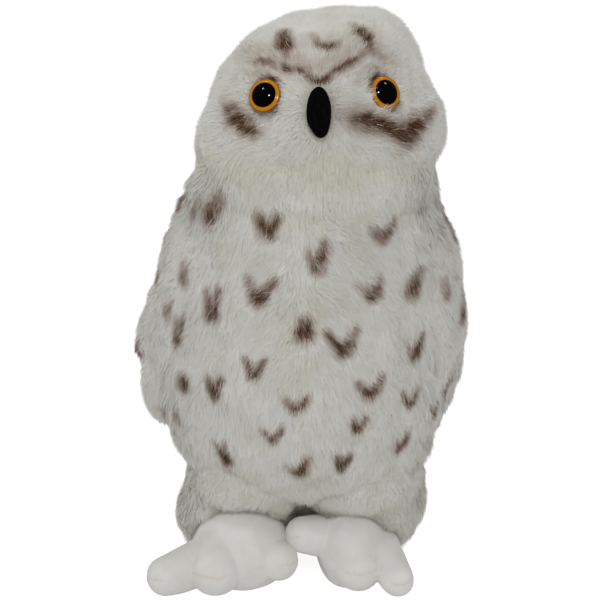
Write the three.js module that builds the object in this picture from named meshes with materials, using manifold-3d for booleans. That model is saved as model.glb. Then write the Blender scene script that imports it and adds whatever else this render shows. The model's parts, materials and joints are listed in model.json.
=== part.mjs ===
// A soft toy snowy owl, standing upright on two stuffed feet.
// Frame: millimetres, +Z up, the owl faces -Y, and its own right side is at -X.
// The plush pieces are drawn to the tips of their pile. Lengths are in millimetres, turns in degrees.
import * as THREE from "three";
import { mergeVertices } from "three/addons/utils/BufferGeometryUtils.js";
import Module from "manifold-3d";

const wasm = await Module();
wasm.setup();

// ---------------------------------------------------------------- driving dimensions

const GAP = 0.3; // clearance between neighbouring solids
const BLOCK = 400; // side of the blocks that part the body at its seams
const WELD = 1e-3; // vertices this close are one

// The trunk's half-width at rising heights: rump, belly, chest and shoulders.
const TRUNK = {
  profile: [
    [0, 34], [34, 36], [56, 46], [65, 60], [71.5, 78], [75.5, 98],
    [77, 120], [74.5, 145], [71, 167], [67, 184], [62.5, 198], [37, 207], [0, 209],
  ],
  front: 0.85, // depth of the belly, as a share of the half-width
  back: 0.83,
  tuck: { share: 0.14, below: 92, over: 46 }, // the belly draws in towards the legs
  lean: 0.035, // sideways drift per millimetre of height
  upright: 100, // height at which the lean passes through the middle
};
const NECK = { centre: [3, -1, 202], half: [65.5, 59.5, 18.5] };
const HEAD = {
  centre: [8, 0, 225],
  width: 64, // half-width at the cheeks
  crown: 68, // height of the crown above the cheeks
  chin: 55, // depth of the jaw below the cheeks
  face: 58, // how far the face stands forward
  nape: 56,
  flatness: 0.3, // how much squarer than an ellipse the face is
  crownShift: 14, // the crown leans to the owl's left, most of it near the top
  shiftPower: 4,
  muzzle: { rise: 4, spread: 20, drop: -12 }, // drop is measured from the eyes
};
// Hollows in the sides of the head, over a band of its height; side 1 is the owl's left.
const HOLLOWS = [
  { side: -1, height: 247, depth: 5.5, spread: 17 },
  { side: 1, height: 261, depth: 4.5, spread: 10 },
  { side: 1, height: 211, depth: 4, spread: 10 },
];
const CHIN_SEAM = { height: 216, tilt: -8 };
const COLLAR_SEAM = { height: 199.5, tilt: 0 };

const EYE = { radius: 8.1, bulge: 4.2, sunk: 2.2 };
const EYES = {
  right: { x: -18.9, z: 254.9, yaw: -23, pitch: 24 },
  left: { x: 38.1, z: 256, yaw: 32, pitch: 22 },
};
const BEAK = {
  x: 6.6,
  top: 261,
  length: 24.5,
  width: 12,
  depth: 15,
  droop: 15, // the tip hangs forward
  proud: 0.5, // how far its middle stands out of the face
};

// Each wing is a set of pads lying on the trunk's side: place and half-size are [y, z] pairs.
// flare lifts a pad's lower end off the body.
const WING_LIFT = 1.6; // how far a wing's rim stands off the trunk
const FLANK_LIMIT = 0.94; // the share of the trunk's depth past which a wing no longer bends round it
const WING_PADS = {
  right: [
    { at: [4, 153], half: [35, 43], thick: 3.5, roll: 6, flare: 0 },
    { at: [8, 134], half: [21, 23], thick: 7, roll: 8, flare: 12.5 },
    { at: [19, 99], half: [22, 30], thick: 11, roll: 6, flare: 8 },
  ],
  left: [
    { at: [2, 146], half: [36, 42], thick: 5, roll: 6, flare: 0 },
    { at: [10, 122], half: [23, 32], thick: 5.5, roll: 8, flare: 1.5 },
    { at: [22, 100], half: [21, 32], thick: 7, roll: 8, flare: 3 },
  ],
};
const TAIL = { centre: [0, 57, 60], half: [37, 15, 45], tilt: 21 };

// Each leg is a plump thigh in front of the belly over a cuff round the foot; the inseams meet under the belly.
const LEGS = {
  right: {
    thigh: { centre: [-27, -14, 55], half: [36, 36, 21.5] },
    inseam: { centre: [-10, -21, 46], half: [19, 22, 14] },
    cuff: { centre: [-34.5, -3, 29], half: [35, 36, 28] },
  },
  left: {
    thigh: { centre: [30, -14, 56], half: [35.5, 36, 21.5] },
    inseam: { centre: [12, -21, 46.5], half: [19, 22, 14] },
    cuff: { centre: [32.5, -2, 36], half: [33, 35, 31] },
  },
};

// Toes run from a root inside the pad to a round tip; the heel is hidden by the cuff.
const FEET = {
  right: {
    pad: { centre: [-32, -20, 17], half: [26, 32, 26] },
    heel: { centre: [-33, 6, 12], half: [22, 23, 17] },
    toes: [
      { root: [-38, -26, 15], tip: [-70, -48, 9.8], radius: 10.4 },
      { root: [-38, -28, 15], tip: [-45, -48, 12.4], radius: 12.6 },
      { root: [-30, -26, 15], tip: [-12.3, -38, 13.8], radius: 9.8 },
    ],
  },
  left: {
    pad: { centre: [24.5, -19, 17], half: [19, 32, 25] },
    heel: { centre: [29, 7, 12], half: [20, 22, 16] },
    toes: [
      { root: [19, -24, 22], tip: [-0.8, -33, 26.5], radius: 9.6 },
      { root: [24, -24, 16], tip: [27, -43, 12.2], radius: 12 },
      { root: [37, -24, 18], tip: [47.3, -50, 8.6], radius: 8.6 },
    ],
  },
};
const TOE_ROOT = 1.35; // how much fatter a toe's root is than its tip

// Roundness of the faceted forms: segments round and along.
const ROUND = {
  trunk: [30, 20],
  head: [30, 20],
  neck: [30, 10],
  pad: [14, 12],
  leg: [16, 10],
  foot: [18, 10],
  toe: [12, 4],
  eye: [18, 10],
  beak: [14, 10],
};

// ---------------------------------------------------------------- solids and meshes

const radians = THREE.MathUtils.degToRad;

/** A geometry with only its places left, and each shared vertex merged. */
function welded(geometry) {
  const plain = geometry.clone();
  plain.deleteAttribute("normal");
  plain.deleteAttribute("uv");
  return mergeVertices(plain, WELD);
}

/** A closed three.js geometry as a manifold solid. */
function solid(geometry) {
  const merged = welded(geometry);
  return new wasm.Manifold(
    new wasm.Mesh({
      numProp: 3,
      vertProperties: new Float32Array(merged.attributes.position.array),
      triVerts: new Uint32Array(merged.index.array),
    }),
  );
}

/** A manifold solid back as a three.js geometry. */
function geometryOf(shape) {
  const { vertProperties, triVerts } = shape.getMesh();
  const geometry = new THREE.BufferGeometry();
  geometry.setAttribute("position", new THREE.BufferAttribute(vertProperties, 3));
  geometry.setIndex(new THREE.BufferAttribute(triVerts, 1));
  geometry.computeVertexNormals();
  return geometry;
}

/** Moves every vertex of a geometry by a function that changes it in place. */
function warped(geometry, move) {
  const position = geometry.attributes.position;
  const point = new THREE.Vector3();
  for (let i = 0; i < position.count; i++) {
    move(point.fromBufferAttribute(position, i));
    position.setXYZ(i, point.x, point.y, point.z);
  }
  return geometry;
}

/** A geometry pushed out along its normals, to cut clearance for it from a neighbour. */
function swollen(geometry, by = GAP) {
  const merged = welded(geometry);
  merged.computeVertexNormals();
  const { position, normal } = merged.attributes;
  for (let i = 0; i < position.count; i++) {
    position.setXYZ(
      i,
      position.getX(i) + by * normal.getX(i),
      position.getY(i) + by * normal.getY(i),
      position.getZ(i) + by * normal.getZ(i),
    );
  }
  return merged;
}

/** A unit ball with its poles on the Z axis. */
function unitBall([around, along]) {
  return new THREE.SphereGeometry(1, around, along).rotateX(Math.PI / 2);
}

/** An ellipsoid with the given half-sizes about a centre, tilted about X. */
function ellipsoid(centre, half, rounds, tilt = 0) {
  return unitBall(rounds).scale(...half).rotateX(radians(tilt)).translate(...centre);
}

/** A big block above a seam (side 1) or below it (side -1), half a gap away from it. */
function beyond({ height, tilt }, side) {
  const block = new THREE.BoxGeometry(BLOCK, BLOCK, BLOCK);
  block.translate(0, 0, side * (BLOCK / 2 + GAP / 2));
  block.rotateX(radians(tilt));
  return solid(block.translate(0, 0, height));
}

// ---------------------------------------------------------------- trunk, neck and head

const trunkCurve = new THREE.SplineCurve(TRUNK.profile.map((p) => new THREE.Vector2(...p)));
const trunkOutline = trunkCurve.getPoints(ROUND.trunk[1]);
const leanAt = (z) => TRUNK.lean * (z - TRUNK.upright);

/** The trunk's half-width at a height. */
function trunkWidth(z) {
  const above = trunkOutline.findIndex((p) => p.y > z);
  if (above < 1) return 0;
  const [low, high] = [trunkOutline[above - 1], trunkOutline[above]];
  return THREE.MathUtils.mapLinear(z, low.y, high.y, low.x, high.x);
}

/** The trunk's depth in front (y < 0) or behind at a height, as a share of its half-width. */
function trunkDepth(y, z) {
  const { share, below, over } = TRUNK.tuck;
  return y < 0 ? TRUNK.front - share * THREE.MathUtils.smoothstep(below - z, 0, over) : TRUNK.back;
}

/** The distance of the trunk's flank from the trunk's middle, at a depth and height. */
function trunkFlank(y, z) {
  const width = trunkWidth(z);
  const depth = width * trunkDepth(y, z);
  const share = THREE.MathUtils.clamp(y / Math.max(depth, 1), -FLANK_LIMIT, FLANK_LIMIT);
  return width * Math.sqrt(1 - share * share);
}

function trunkGeometry() {
  const turned = new THREE.LatheGeometry(trunkOutline, ROUND.trunk[0]).rotateX(Math.PI / 2);
  return warped(turned, (p) => {
    p.y *= trunkDepth(p.y, p.z);
    p.x += leanAt(p.z);
  });
}

/** How far the crown has drifted to the owl's left at a share of its height. */
const crownDrift = (share) => HEAD.crownShift * Math.max(share, 0) ** HEAD.shiftPower;

/** The muzzle's extra rise at a point of the face. */
function muzzleRise(x, z) {
  const { rise, spread, drop } = HEAD.muzzle;
  const away = Math.hypot(x - BEAK.x, z - (EYES.right.z + drop));
  return rise * Math.exp(-((away / spread) ** 2));
}

/** How far the side of the head is hollowed at a height, for a share across it. */
function hollow(share, z) {
  return HOLLOWS.filter(({ side }) => side * share > 0)
    .map(({ height, depth, spread }) => depth * Math.exp(-(((z - height) / spread) ** 2)))
    .reduce((sum, inward) => sum + inward * share, 0);
}

function headGeometry() {
  const [cx, cy, cz] = HEAD.centre;
  return warped(unitBall(ROUND.head), (p) => {
    const share = p.z;
    const forward = p.y < 0;
    const squarer = 1 + HEAD.flatness * (1 - p.y * p.y);
    const across = p.x;
    p.z = cz + (share > 0 ? HEAD.crown : HEAD.chin) * share;
    p.x = cx + crownDrift(share) + HEAD.width * across - hollow(across, p.z);
    p.y = cy + (forward ? HEAD.face * squarer : HEAD.nape) * p.y;
    if (forward) p.y -= muzzleRise(p.x, p.z);
  });
}

/** The y of the face's surface at a place on it. */
function faceAt(x, z) {
  const [cx, cy, cz] = HEAD.centre;
  const up = (z - cz) / (z > cz ? HEAD.crown : HEAD.chin);
  const across = (x - cx - crownDrift(up)) / HEAD.width;
  const out = Math.sqrt(Math.max(0, 1 - up * up - across * across));
  const squarer = 1 + HEAD.flatness * (1 - out * out);
  return cy - HEAD.face * squarer * out - muzzleRise(x, z);
}

// ---------------------------------------------------------------- eyes and beak

function eyeGeometry({ x, z, yaw, pitch }) {
  const lens = unitBall(ROUND.eye).scale(EYE.radius, EYE.radius, EYE.bulge);
  lens.rotateX(radians(90 - pitch)).rotateZ(radians(yaw));
  return lens.translate(x, faceAt(x, z) + EYE.sunk, z);
}

/** A stuffed bean, round at both ends, its tip hanging forward. */
function beakGeometry() {
  const middle = BEAK.top - BEAK.length / 2;
  const centre = [BEAK.x, faceAt(BEAK.x, middle) - BEAK.proud, middle];
  const half = [BEAK.width / 2, BEAK.depth / 2, BEAK.length / 2];
  return ellipsoid(centre, half, ROUND.beak, -BEAK.droop);
}

// ---------------------------------------------------------------- wings, tail, legs and feet

/** One pad of a wing: a thin ball laid on the trunk's flank, with its lower end flared. */
function wingPad(pad, side) {
  return warped(unitBall(ROUND.pad), (p) => {
    const turn = radians(pad.roll);
    const along = p.y * pad.half[0];
    const up = p.z * pad.half[1];
    const lift = pad.flare * Math.max(0, -p.z) ** 2;
    const y = pad.at[0] + along * Math.cos(turn) - up * Math.sin(turn);
    const z = pad.at[1] + along * Math.sin(turn) + up * Math.cos(turn);
    const out = trunkFlank(y, z) + WING_LIFT + side * pad.thick * p.x + lift;
    p.set(leanAt(z) + side * out, y, z);
  });
}

function footShapes({ pad, heel, toes }) {
  const stuffed = [pad, heel].map(({ centre, half }) => ellipsoid(centre, half, ROUND.foot));
  return [...stuffed, ...toes.map(toeGeometry)];
}

/** A toe: a tapering round finger between two points, with round ends. */
function toeGeometry({ root, tip, radius }) {
  const [around, arc] = ROUND.toe;
  const start = new THREE.Vector3(...root);
  const run = new THREE.Vector3(...tip).sub(start);
  const profile = [];
  for (let i = 0; i <= arc; i++) {
    const angle = (i / arc) * (Math.PI / 2);
    const wide = radius * TOE_ROOT;
    profile.push(new THREE.Vector2(wide * Math.sin(angle), -wide * Math.cos(angle)));
  }
  for (let i = arc; i >= 0; i--) {
    const angle = (i / arc) * (Math.PI / 2);
    profile.push(new THREE.Vector2(radius * Math.sin(angle), run.length() + radius * Math.cos(angle)));
  }
  profile[0].x = 0;
  profile.at(-1).x = 0;
  const finger = new THREE.LatheGeometry(profile, around);
  const turn = new THREE.Quaternion().setFromUnitVectors(new THREE.Vector3(0, 1, 0), run.normalize());
  return finger.applyQuaternion(turn).translate(...start);
}

const joined = (geometries) => geometries.map((g) => solid(g)).reduce((a, b) => a.add(b));
const joinedSwollen = (geometries) => geometries.map((g) => solid(swollen(g))).reduce((a, b) => a.add(b));

// ---------------------------------------------------------------- finishes

const finish = (color, roughness, metalness = 0) =>
  new THREE.MeshStandardMaterial({ color, roughness, metalness });
const FINISHES = {
  plush: finish(0xdedcd4, 0.95),
  nap: finish(0xe6e4de, 0.85),
  felt: finish(0x0b0b0c, 0.9),
  eye: finish(0x2a1704, 0.12),
};

// ---------------------------------------------------------------- the toy

const owl = new THREE.Group();

function place(name, shape, material) {
  const mesh = new THREE.Mesh(geometryOf(shape), material);
  mesh.name = name;
  owl.add(mesh);
}

const trunkForm = trunkGeometry();
const headForm = headGeometry();
const neckForm = ellipsoid(NECK.centre, NECK.half, ROUND.neck);
const beakForm = beakGeometry();
const eyeForms = Object.entries(EYES).map(([side, eye]) => [side, eyeGeometry(eye)]);
const aboveFloor = solid(new THREE.BoxGeometry(BLOCK, BLOCK, BLOCK).translate(0, 0, BLOCK / 2));

const core = joined([trunkForm, neckForm, headForm]);
const coreRoom = joinedSwollen([trunkForm, neckForm, headForm]);
const faceRoom = joinedSwollen([beakForm, ...eyeForms.map(([, form]) => form)]);

place("head", core.intersect(beyond(CHIN_SEAM, 1)).subtract(faceRoom), FINISHES.plush);
place("neck", core.intersect(beyond(CHIN_SEAM, -1)).intersect(beyond(COLLAR_SEAM, 1)), FINISHES.plush);
place("trunk", core.intersect(beyond(COLLAR_SEAM, -1)), FINISHES.plush);
place("beak", solid(beakForm), FINISHES.felt);
for (const [side, form] of eyeForms) place(`eye_${side}`, solid(form), FINISHES.eye);

for (const [side, pads] of Object.entries(WING_PADS)) {
  const sign = side === "left" ? 1 : -1;
  const wing = joined(pads.map((pad) => wingPad(pad, sign)));
  place(`wing_${side}`, wing.subtract(coreRoom), FINISHES.plush);
}
const tailForm = ellipsoid(TAIL.centre, TAIL.half, ROUND.pad, TAIL.tilt);
place("tail", solid(tailForm).subtract(coreRoom), FINISHES.plush);

const legForms = Object.values(LEGS).map((leg) =>
  Object.values(leg).map(({ centre, half }) => ellipsoid(centre, half, ROUND.leg)),
);
const footForms = Object.values(FEET).map(footShapes);
const feetRoom = joinedSwollen(footForms.flat());
Object.keys(LEGS).forEach((side, i) => {
  let leg = joined(legForms[i]).subtract(coreRoom).subtract(feetRoom);
  let foot = joined(footForms[i]).intersect(aboveFloor).subtract(coreRoom);
  if (i > 0) {
    leg = leg.subtract(joinedSwollen(legForms[0]));
    foot = foot.subtract(joinedSwollen(footForms[0]));
  }
  place(`leg_${side}`, leg, FINISHES.plush);
  place(`foot_${side}`, foot, FINISHES.nap);
});

// The origin is the middle of the toy's footprint, on the floor.
const box = new THREE.Box3().setFromObject(owl);
const middle = box.getCenter(new THREE.Vector3());
owl.position.set(-middle.x, -middle.y, -box.min.z);

export default owl;
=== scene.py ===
"""A soft toy snowy owl in long white plush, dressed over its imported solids.

The owl faces -Y with its own right side at -X, and stands on the floor at z = 0. Lengths are in metres.
The head, trunk, wings, tail and legs are one sewn shell under a pile of long fibres; the eyes, the beak and
the stuffed feet are pieces of their own.
"""

import json
import logging
import math
import sys
from dataclasses import dataclass, field
from enum import Enum

import bmesh
import bpy
import numpy as np
from mathutils import Matrix, Vector
from mathutils.bvhtree import BVHTree
from mathutils.kdtree import KDTree

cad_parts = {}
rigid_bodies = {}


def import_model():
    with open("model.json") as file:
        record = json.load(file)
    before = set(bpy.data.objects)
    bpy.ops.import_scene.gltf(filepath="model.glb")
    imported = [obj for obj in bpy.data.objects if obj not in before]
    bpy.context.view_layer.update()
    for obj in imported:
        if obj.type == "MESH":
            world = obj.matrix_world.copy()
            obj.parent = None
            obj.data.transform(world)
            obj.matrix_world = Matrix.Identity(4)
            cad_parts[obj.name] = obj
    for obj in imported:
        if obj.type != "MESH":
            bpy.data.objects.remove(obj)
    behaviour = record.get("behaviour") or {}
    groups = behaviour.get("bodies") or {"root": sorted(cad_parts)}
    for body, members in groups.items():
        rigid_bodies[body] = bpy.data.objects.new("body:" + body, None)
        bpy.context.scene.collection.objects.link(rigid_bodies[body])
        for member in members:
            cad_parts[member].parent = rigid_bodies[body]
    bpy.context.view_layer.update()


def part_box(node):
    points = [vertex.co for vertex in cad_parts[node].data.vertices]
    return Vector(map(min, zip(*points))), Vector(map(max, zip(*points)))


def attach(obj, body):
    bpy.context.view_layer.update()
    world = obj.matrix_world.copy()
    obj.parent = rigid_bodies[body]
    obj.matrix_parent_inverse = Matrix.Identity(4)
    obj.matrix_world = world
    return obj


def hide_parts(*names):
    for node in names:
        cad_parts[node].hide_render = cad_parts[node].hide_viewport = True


LOG = logging.getLogger("owl")

MM = 0.001
WELD = 1e-6
UP = np.array([0.0, 0.0, 1.0])
BODY = "root"
MIDDLE = 3 * MM  # where the middle of the front runs, low on the toy
Color = tuple[float, float, float]
Span = tuple[float, float]
Source = bpy.types.NodeSocket | Color | float
Rows = dict[str, np.ndarray]


# ---------------------------------------------------------------- numbers on meshes


def coords(mesh: bpy.types.Mesh) -> np.ndarray:
    """Reads a mesh's vertices.

    Args:
        mesh: the mesh to read.

    Returns:
        One row of x, y, z for each vertex.
    """
    flat = np.empty(len(mesh.vertices) * 3, np.float32)
    mesh.vertices.foreach_get("co", flat)
    return flat.reshape(-1, 3).astype(float)


def set_coords(mesh: bpy.types.Mesh, points: np.ndarray) -> None:
    """Moves a mesh's vertices.

    Args:
        mesh: the mesh to change.
        points: one row of x, y, z for each vertex.
    """
    mesh.vertices.foreach_set("co", points.astype(np.float32).ravel())
    mesh.update()


def normals(mesh: bpy.types.Mesh) -> np.ndarray:
    """Reads a mesh's vertex normals, one row each."""
    flat = np.empty(len(mesh.vertices) * 3, np.float32)
    mesh.vertex_normals.foreach_get("vector", flat)
    return flat.reshape(-1, 3).astype(float)


def edges(mesh: bpy.types.Mesh) -> np.ndarray:
    """Reads a mesh's edges, one row of two vertex numbers each."""
    flat = np.empty(len(mesh.edges) * 2, np.int32)
    mesh.edges.foreach_get("vertices", flat)
    return flat.reshape(-1, 2)


def unit(vectors: np.ndarray) -> np.ndarray:
    """Scales each row to length one."""
    return vectors / np.maximum(np.linalg.norm(vectors, axis=-1, keepdims=True), 1e-12)


def along_surface(vectors: np.ndarray, normal: np.ndarray) -> np.ndarray:
    """Turns each row to lie in the surface with that normal, at length one."""
    return unit(vectors - (vectors * normal).sum(-1, keepdims=True) * normal)


def off_path(points: np.ndarray, path: tuple[tuple[float, float], ...]) -> np.ndarray:
    """Measures how far points lie from a broken line, as seen from ahead.

    Args:
        points: places, one row each.
        path: the line's points, across and up, in millimetres.

    Returns:
        One distance for each place.
    """
    flat = points[:, (0, 2)]
    gaps = []
    for one, two in zip(path, path[1:]):
        start, run = np.array(one) * MM, (np.array(two) - np.array(one)) * MM
        share = np.clip((flat - start) @ run / (run @ run), 0.0, 1.0)
        gaps.append(np.linalg.norm(flat - start - share[:, None] * run, axis=1))
    return np.min(gaps, axis=0)


def smoothstep(low: float, high: float, value: np.ndarray) -> np.ndarray:
    """Rises smoothly from 0 at low to 1 at high."""
    share = np.clip((value - low) / (high - low), 0.0, 1.0)
    return share * share * (3.0 - 2.0 * share)


def hump(gap: np.ndarray, width: float) -> np.ndarray:
    """Falls smoothly from 1 where there is no gap to about a third at the width."""
    return np.exp(-((gap / width) ** 2))


def relaxed(values: np.ndarray, links: np.ndarray, rounds: int, share: float = 0.5) -> np.ndarray:
    """Smooths values over a mesh.

    Args:
        values: one number or one row for each vertex.
        links: the mesh's edges.
        rounds: how many times each vertex moves towards its neighbours' mean.
        share: how far it moves each time.

    Returns:
        The smoothed values, in the same shape.
    """
    flat = values.reshape(len(values), -1).astype(float)
    count = np.bincount(links.ravel(), minlength=len(flat)).astype(float)
    count = np.maximum(count, 1.0)
    a, b = links[:, 0], links[:, 1]
    for _ in range(rounds):
        for k in range(flat.shape[1]):
            column = flat[:, k]
            total = np.bincount(a, column[b], len(flat)) + np.bincount(b, column[a], len(flat))
            flat[:, k] = column + share * (total / count - column)
    return flat.reshape(values.shape)


def ripple(points: np.ndarray, wavelength: float, seed: int, waves: int = 9) -> np.ndarray:
    """Smooth random waves through space.

    Args:
        points: where the waves are read, one row each.
        wavelength: the typical distance between crests.
        seed: which waves.
        waves: how many are laid over each other.

    Returns:
        One value for each point, mostly between -1 and 1.
    """
    rng = np.random.default_rng(seed)
    headings = unit(rng.normal(size=(waves, 3))) * rng.uniform(0.6, 1.7, (waves, 1))
    phases = rng.uniform(0.0, 2.0 * math.pi, waves)
    return np.sin(points @ headings.T * (2.0 * math.pi / wavelength) + phases).sum(1) / math.sqrt(waves)


def store(mesh: bpy.types.Mesh, label: str, values: np.ndarray) -> None:
    """Writes one number for each vertex, under the label that a material reads."""
    mesh.attributes.new(label, "FLOAT", "POINT").data.foreach_set("value", values.astype(np.float32))


def new_object(name: str, mesh: bpy.types.Mesh) -> bpy.types.Object:
    """Links a mesh to the scene as an object at the origin."""
    piece = bpy.data.objects.new(name, mesh)
    bpy.context.scene.collection.objects.link(piece)
    return piece


def box_of(name: str) -> tuple[np.ndarray, np.ndarray]:
    """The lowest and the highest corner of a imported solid's box."""
    low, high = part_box(name)
    return np.array(low), np.array(high)


def mesh_from(shape: bmesh.types.BMesh, name: str, smooth: bool = True) -> bpy.types.Mesh:
    """Turns a bmesh into a mesh and frees it.

    Args:
        shape: the bmesh, which is used up.
        name: the mesh's name.
        smooth: whether its faces are shaded smooth.

    Returns:
        The new mesh.
    """
    for face in shape.faces:
        face.smooth = smooth
    mesh = bpy.data.meshes.new(name)
    shape.to_mesh(mesh)
    shape.free()
    return mesh


def cad_copy(node: bpy.types.Object, swell: float = 0.0) -> bmesh.types.BMesh:
    """Copies a solid's mesh with its doubles merged.

    Args:
        node: the solid's object.
        swell: how far its surface is pushed out.

    Returns:
        The merged copy.
    """
    shape = bmesh.new()
    shape.from_mesh(node.data)
    bmesh.ops.remove_doubles(shape, verts=shape.verts, dist=WELD)
    shape.normal_update()
    if swell:
        places = [vert.co + vert.normal * swell for vert in shape.verts]
        for vert, place in zip(shape.verts, places):
            vert.co = place
    return shape


def remeshed(mesh: bpy.types.Mesh, voxel: float) -> bpy.types.Mesh:
    """Wraps closed bodies in one even surface.

    Args:
        mesh: the bodies, which may overlap.
        voxel: the size of the new faces.

    Returns:
        A new mesh of even quads.
    """
    holder = new_object("holder", mesh)
    remesh = holder.modifiers.new("remesh", "REMESH")
    remesh.mode = "VOXEL"
    remesh.voxel_size = voxel
    graph = bpy.context.evaluated_depsgraph_get()
    even = bpy.data.meshes.new_from_object(holder.evaluated_get(graph))
    bpy.data.objects.remove(holder)
    even.polygons.foreach_set("use_smooth", np.ones(len(even.polygons), bool))
    return even


# ---------------------------------------------------------------- finishes


class Nodes:
    """A short way to lay out a material's nodes."""

    def __init__(self, name: str) -> None:
        """Starts a material with a bare surface shader.

        Args:
            name: the material's name.
        """
        self.material = bpy.data.materials.new(name)
        self.material.use_nodes = True
        self.tree = self.material.node_tree
        self.shader = self.tree.nodes["Principled BSDF"]
        self.places = self.tree.nodes.new("ShaderNodeTexCoord").outputs["Object"]

    def set(self, **sockets: float) -> None:
        """Sets the shader's own sockets, named with _ for a space."""
        for name, value in sockets.items():
            self.shader.inputs[name.replace("_", " ")].default_value = value

    def attribute(self, name: str) -> bpy.types.NodeSocket:
        """Reads a number stored on the mesh."""
        node = self.tree.nodes.new("ShaderNodeAttribute")
        node.attribute_name = name
        return node.outputs["Fac"]

    def noise(self, scale: float, detail: float = 4.0) -> bpy.types.NodeSocket:
        """Fractal noise over the object's own space.

        Args:
            scale: features per metre.
            detail: how many finer layers it has.

        Returns:
            The noise's value.
        """
        node = self.tree.nodes.new("ShaderNodeTexNoise")
        node.inputs["Scale"].default_value = scale
        node.inputs["Detail"].default_value = detail
        self.tree.links.new(self.places, node.inputs["Vector"])
        return node.outputs["Fac"]

    def range(self, value: bpy.types.NodeSocket, old: Span, new: Span) -> bpy.types.NodeSocket:
        """Maps a value from one range to another, clamped."""
        node = self.tree.nodes.new("ShaderNodeMapRange")
        node.inputs["From Min"].default_value, node.inputs["From Max"].default_value = old
        node.inputs["To Min"].default_value, node.inputs["To Max"].default_value = new
        self.tree.links.new(value, node.inputs["Value"])
        return node.outputs["Result"]

    def mix(self, share: Source, one: Source, other: Source) -> bpy.types.NodeSocket:
        """Mixes two colours, each a socket or a plain colour, by a share."""
        node = self.tree.nodes.new("ShaderNodeMix")
        node.data_type = "RGBA"
        color_inputs = [socket for socket in node.inputs if socket.type == "RGBA"]
        for source, socket in zip((share, one, other), (node.inputs["Factor"], *color_inputs)):
            if isinstance(source, bpy.types.NodeSocket):
                self.tree.links.new(source, socket)
            elif isinstance(source, tuple):
                socket.default_value = (*source, 1.0)
            else:
                socket.default_value = source
        return next(socket for socket in node.outputs if socket.type == "RGBA")

    def color(self, source: bpy.types.NodeSocket) -> None:
        """Feeds the shader's base colour."""
        self.tree.links.new(source, self.shader.inputs["Base Color"])

    def bump(self, source: bpy.types.NodeSocket, distance: float) -> None:
        """Raises the surface by a value, up to a distance."""
        node = self.tree.nodes.new("ShaderNodeBump")
        node.inputs["Distance"].default_value = distance
        self.tree.links.new(source, node.inputs["Height"])
        self.tree.links.new(node.outputs["Normal"], self.shader.inputs["Normal"])


@dataclass(frozen=True)
class PlushFinish:
    """Long polyester pile, white with brown sprayed flecks; its roots are painted creamier and a little
    darker as shade deep in the pile, and cream is painted as shade in its seams, creases and low on the
    legs.
    """

    name: str = "plush_pile"
    tip: Color = (0.92, 0.918, 0.885)
    shade: Color = (0.84, 0.832, 0.78)
    root: Color = (0.88, 0.865, 0.79)
    cream: Color = (0.80, 0.785, 0.66)
    brown: Color = (0.27, 0.12, 0.046)
    dark: Color = (0.09, 0.034, 0.012)

    def material(self) -> bpy.types.Material:
        """Builds the material."""
        nodes = Nodes(self.name)
        drift = nodes.range(nodes.noise(28.0), (0.35, 0.65), (0.0, 1.0))
        white = nodes.mix(drift, self.tip, self.shade)
        aged = nodes.mix(nodes.range(nodes.attribute("tone"), (0.0, 1.0), (0.0, 0.5)), white, self.shade)
        # Painted shade: cream mixed in by the stored mask, in the seams, creases and low on the legs, plus
        # random creamy clouds.
        cream_and_shade = nodes.mix(nodes.range(nodes.attribute("cream_and_shade"), (0.0, 1.0), (0.0, 0.8)), aged, self.cream)
        # Painted shade: the fibres are creamier and a little darker towards their roots, deep in the pile.
        fibre = nodes.mix(nodes.range(nodes.attribute("rise"), (0.0, 0.6), (0.75, 0.0)), cream_and_shade, self.root)
        strong = nodes.range(nodes.attribute("fleck"), (0.45, 1.0), (0.0, 1.0))
        dye = nodes.mix(strong, self.brown, self.dark)
        nodes.color(nodes.mix(nodes.attribute("fleck"), fibre, dye))
        nodes.set(Roughness=0.9, Specular_IOR_Level=0.05)
        return nodes.material


@dataclass(frozen=True)
class BackingFinish:
    """The knitted backing that the pile is tufted into."""

    name: str = "plush_backing"
    cream: Color = (0.80, 0.775, 0.70)
    white: Color = (0.86, 0.84, 0.79)
    brown: Color = (0.11, 0.055, 0.035)
    knit: float = 900.0
    relief: float = 0.3 * MM

    def material(self) -> bpy.types.Material:
        """Builds the material."""
        nodes = Nodes(self.name)
        base = nodes.mix(nodes.noise(60.0), self.cream, self.white)
        nodes.color(nodes.mix(nodes.attribute("fleck"), base, self.brown))
        nodes.set(Roughness=0.95, Specular_IOR_Level=0.15)
        nodes.bump(nodes.noise(self.knit, 2.0), self.relief)
        return nodes.material


@dataclass(frozen=True)
class NapFinish:
    """Short brushed pile of the feet, with a beige line along each sewn seam and painted shade in the
    puckers and between the toes.
    """

    name: str = "short_nap"
    white: Color = (0.80, 0.795, 0.77)
    shade: Color = (0.74, 0.73, 0.69)
    seam_and_shade: Color = (0.72, 0.64, 0.56)
    relief: float = 0.25 * MM

    def material(self) -> bpy.types.Material:
        """Builds the material."""
        nodes = Nodes(self.name)
        brushed = nodes.mix(nodes.range(nodes.noise(90.0), (0.35, 0.7), (0.0, 1.0)), self.white, self.shade)
        # Beige seam lines, and painted shade in the puckers and in the grooves between the toes.
        nodes.color(nodes.mix(nodes.attribute("seam_and_shade"), brushed, self.seam_and_shade))
        nodes.set(Roughness=0.9, Sheen_Weight=0.25, Sheen_Roughness=0.4, Specular_IOR_Level=0.2)
        nodes.bump(nodes.noise(1500.0, 3.0), self.relief)
        return nodes.material


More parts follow.
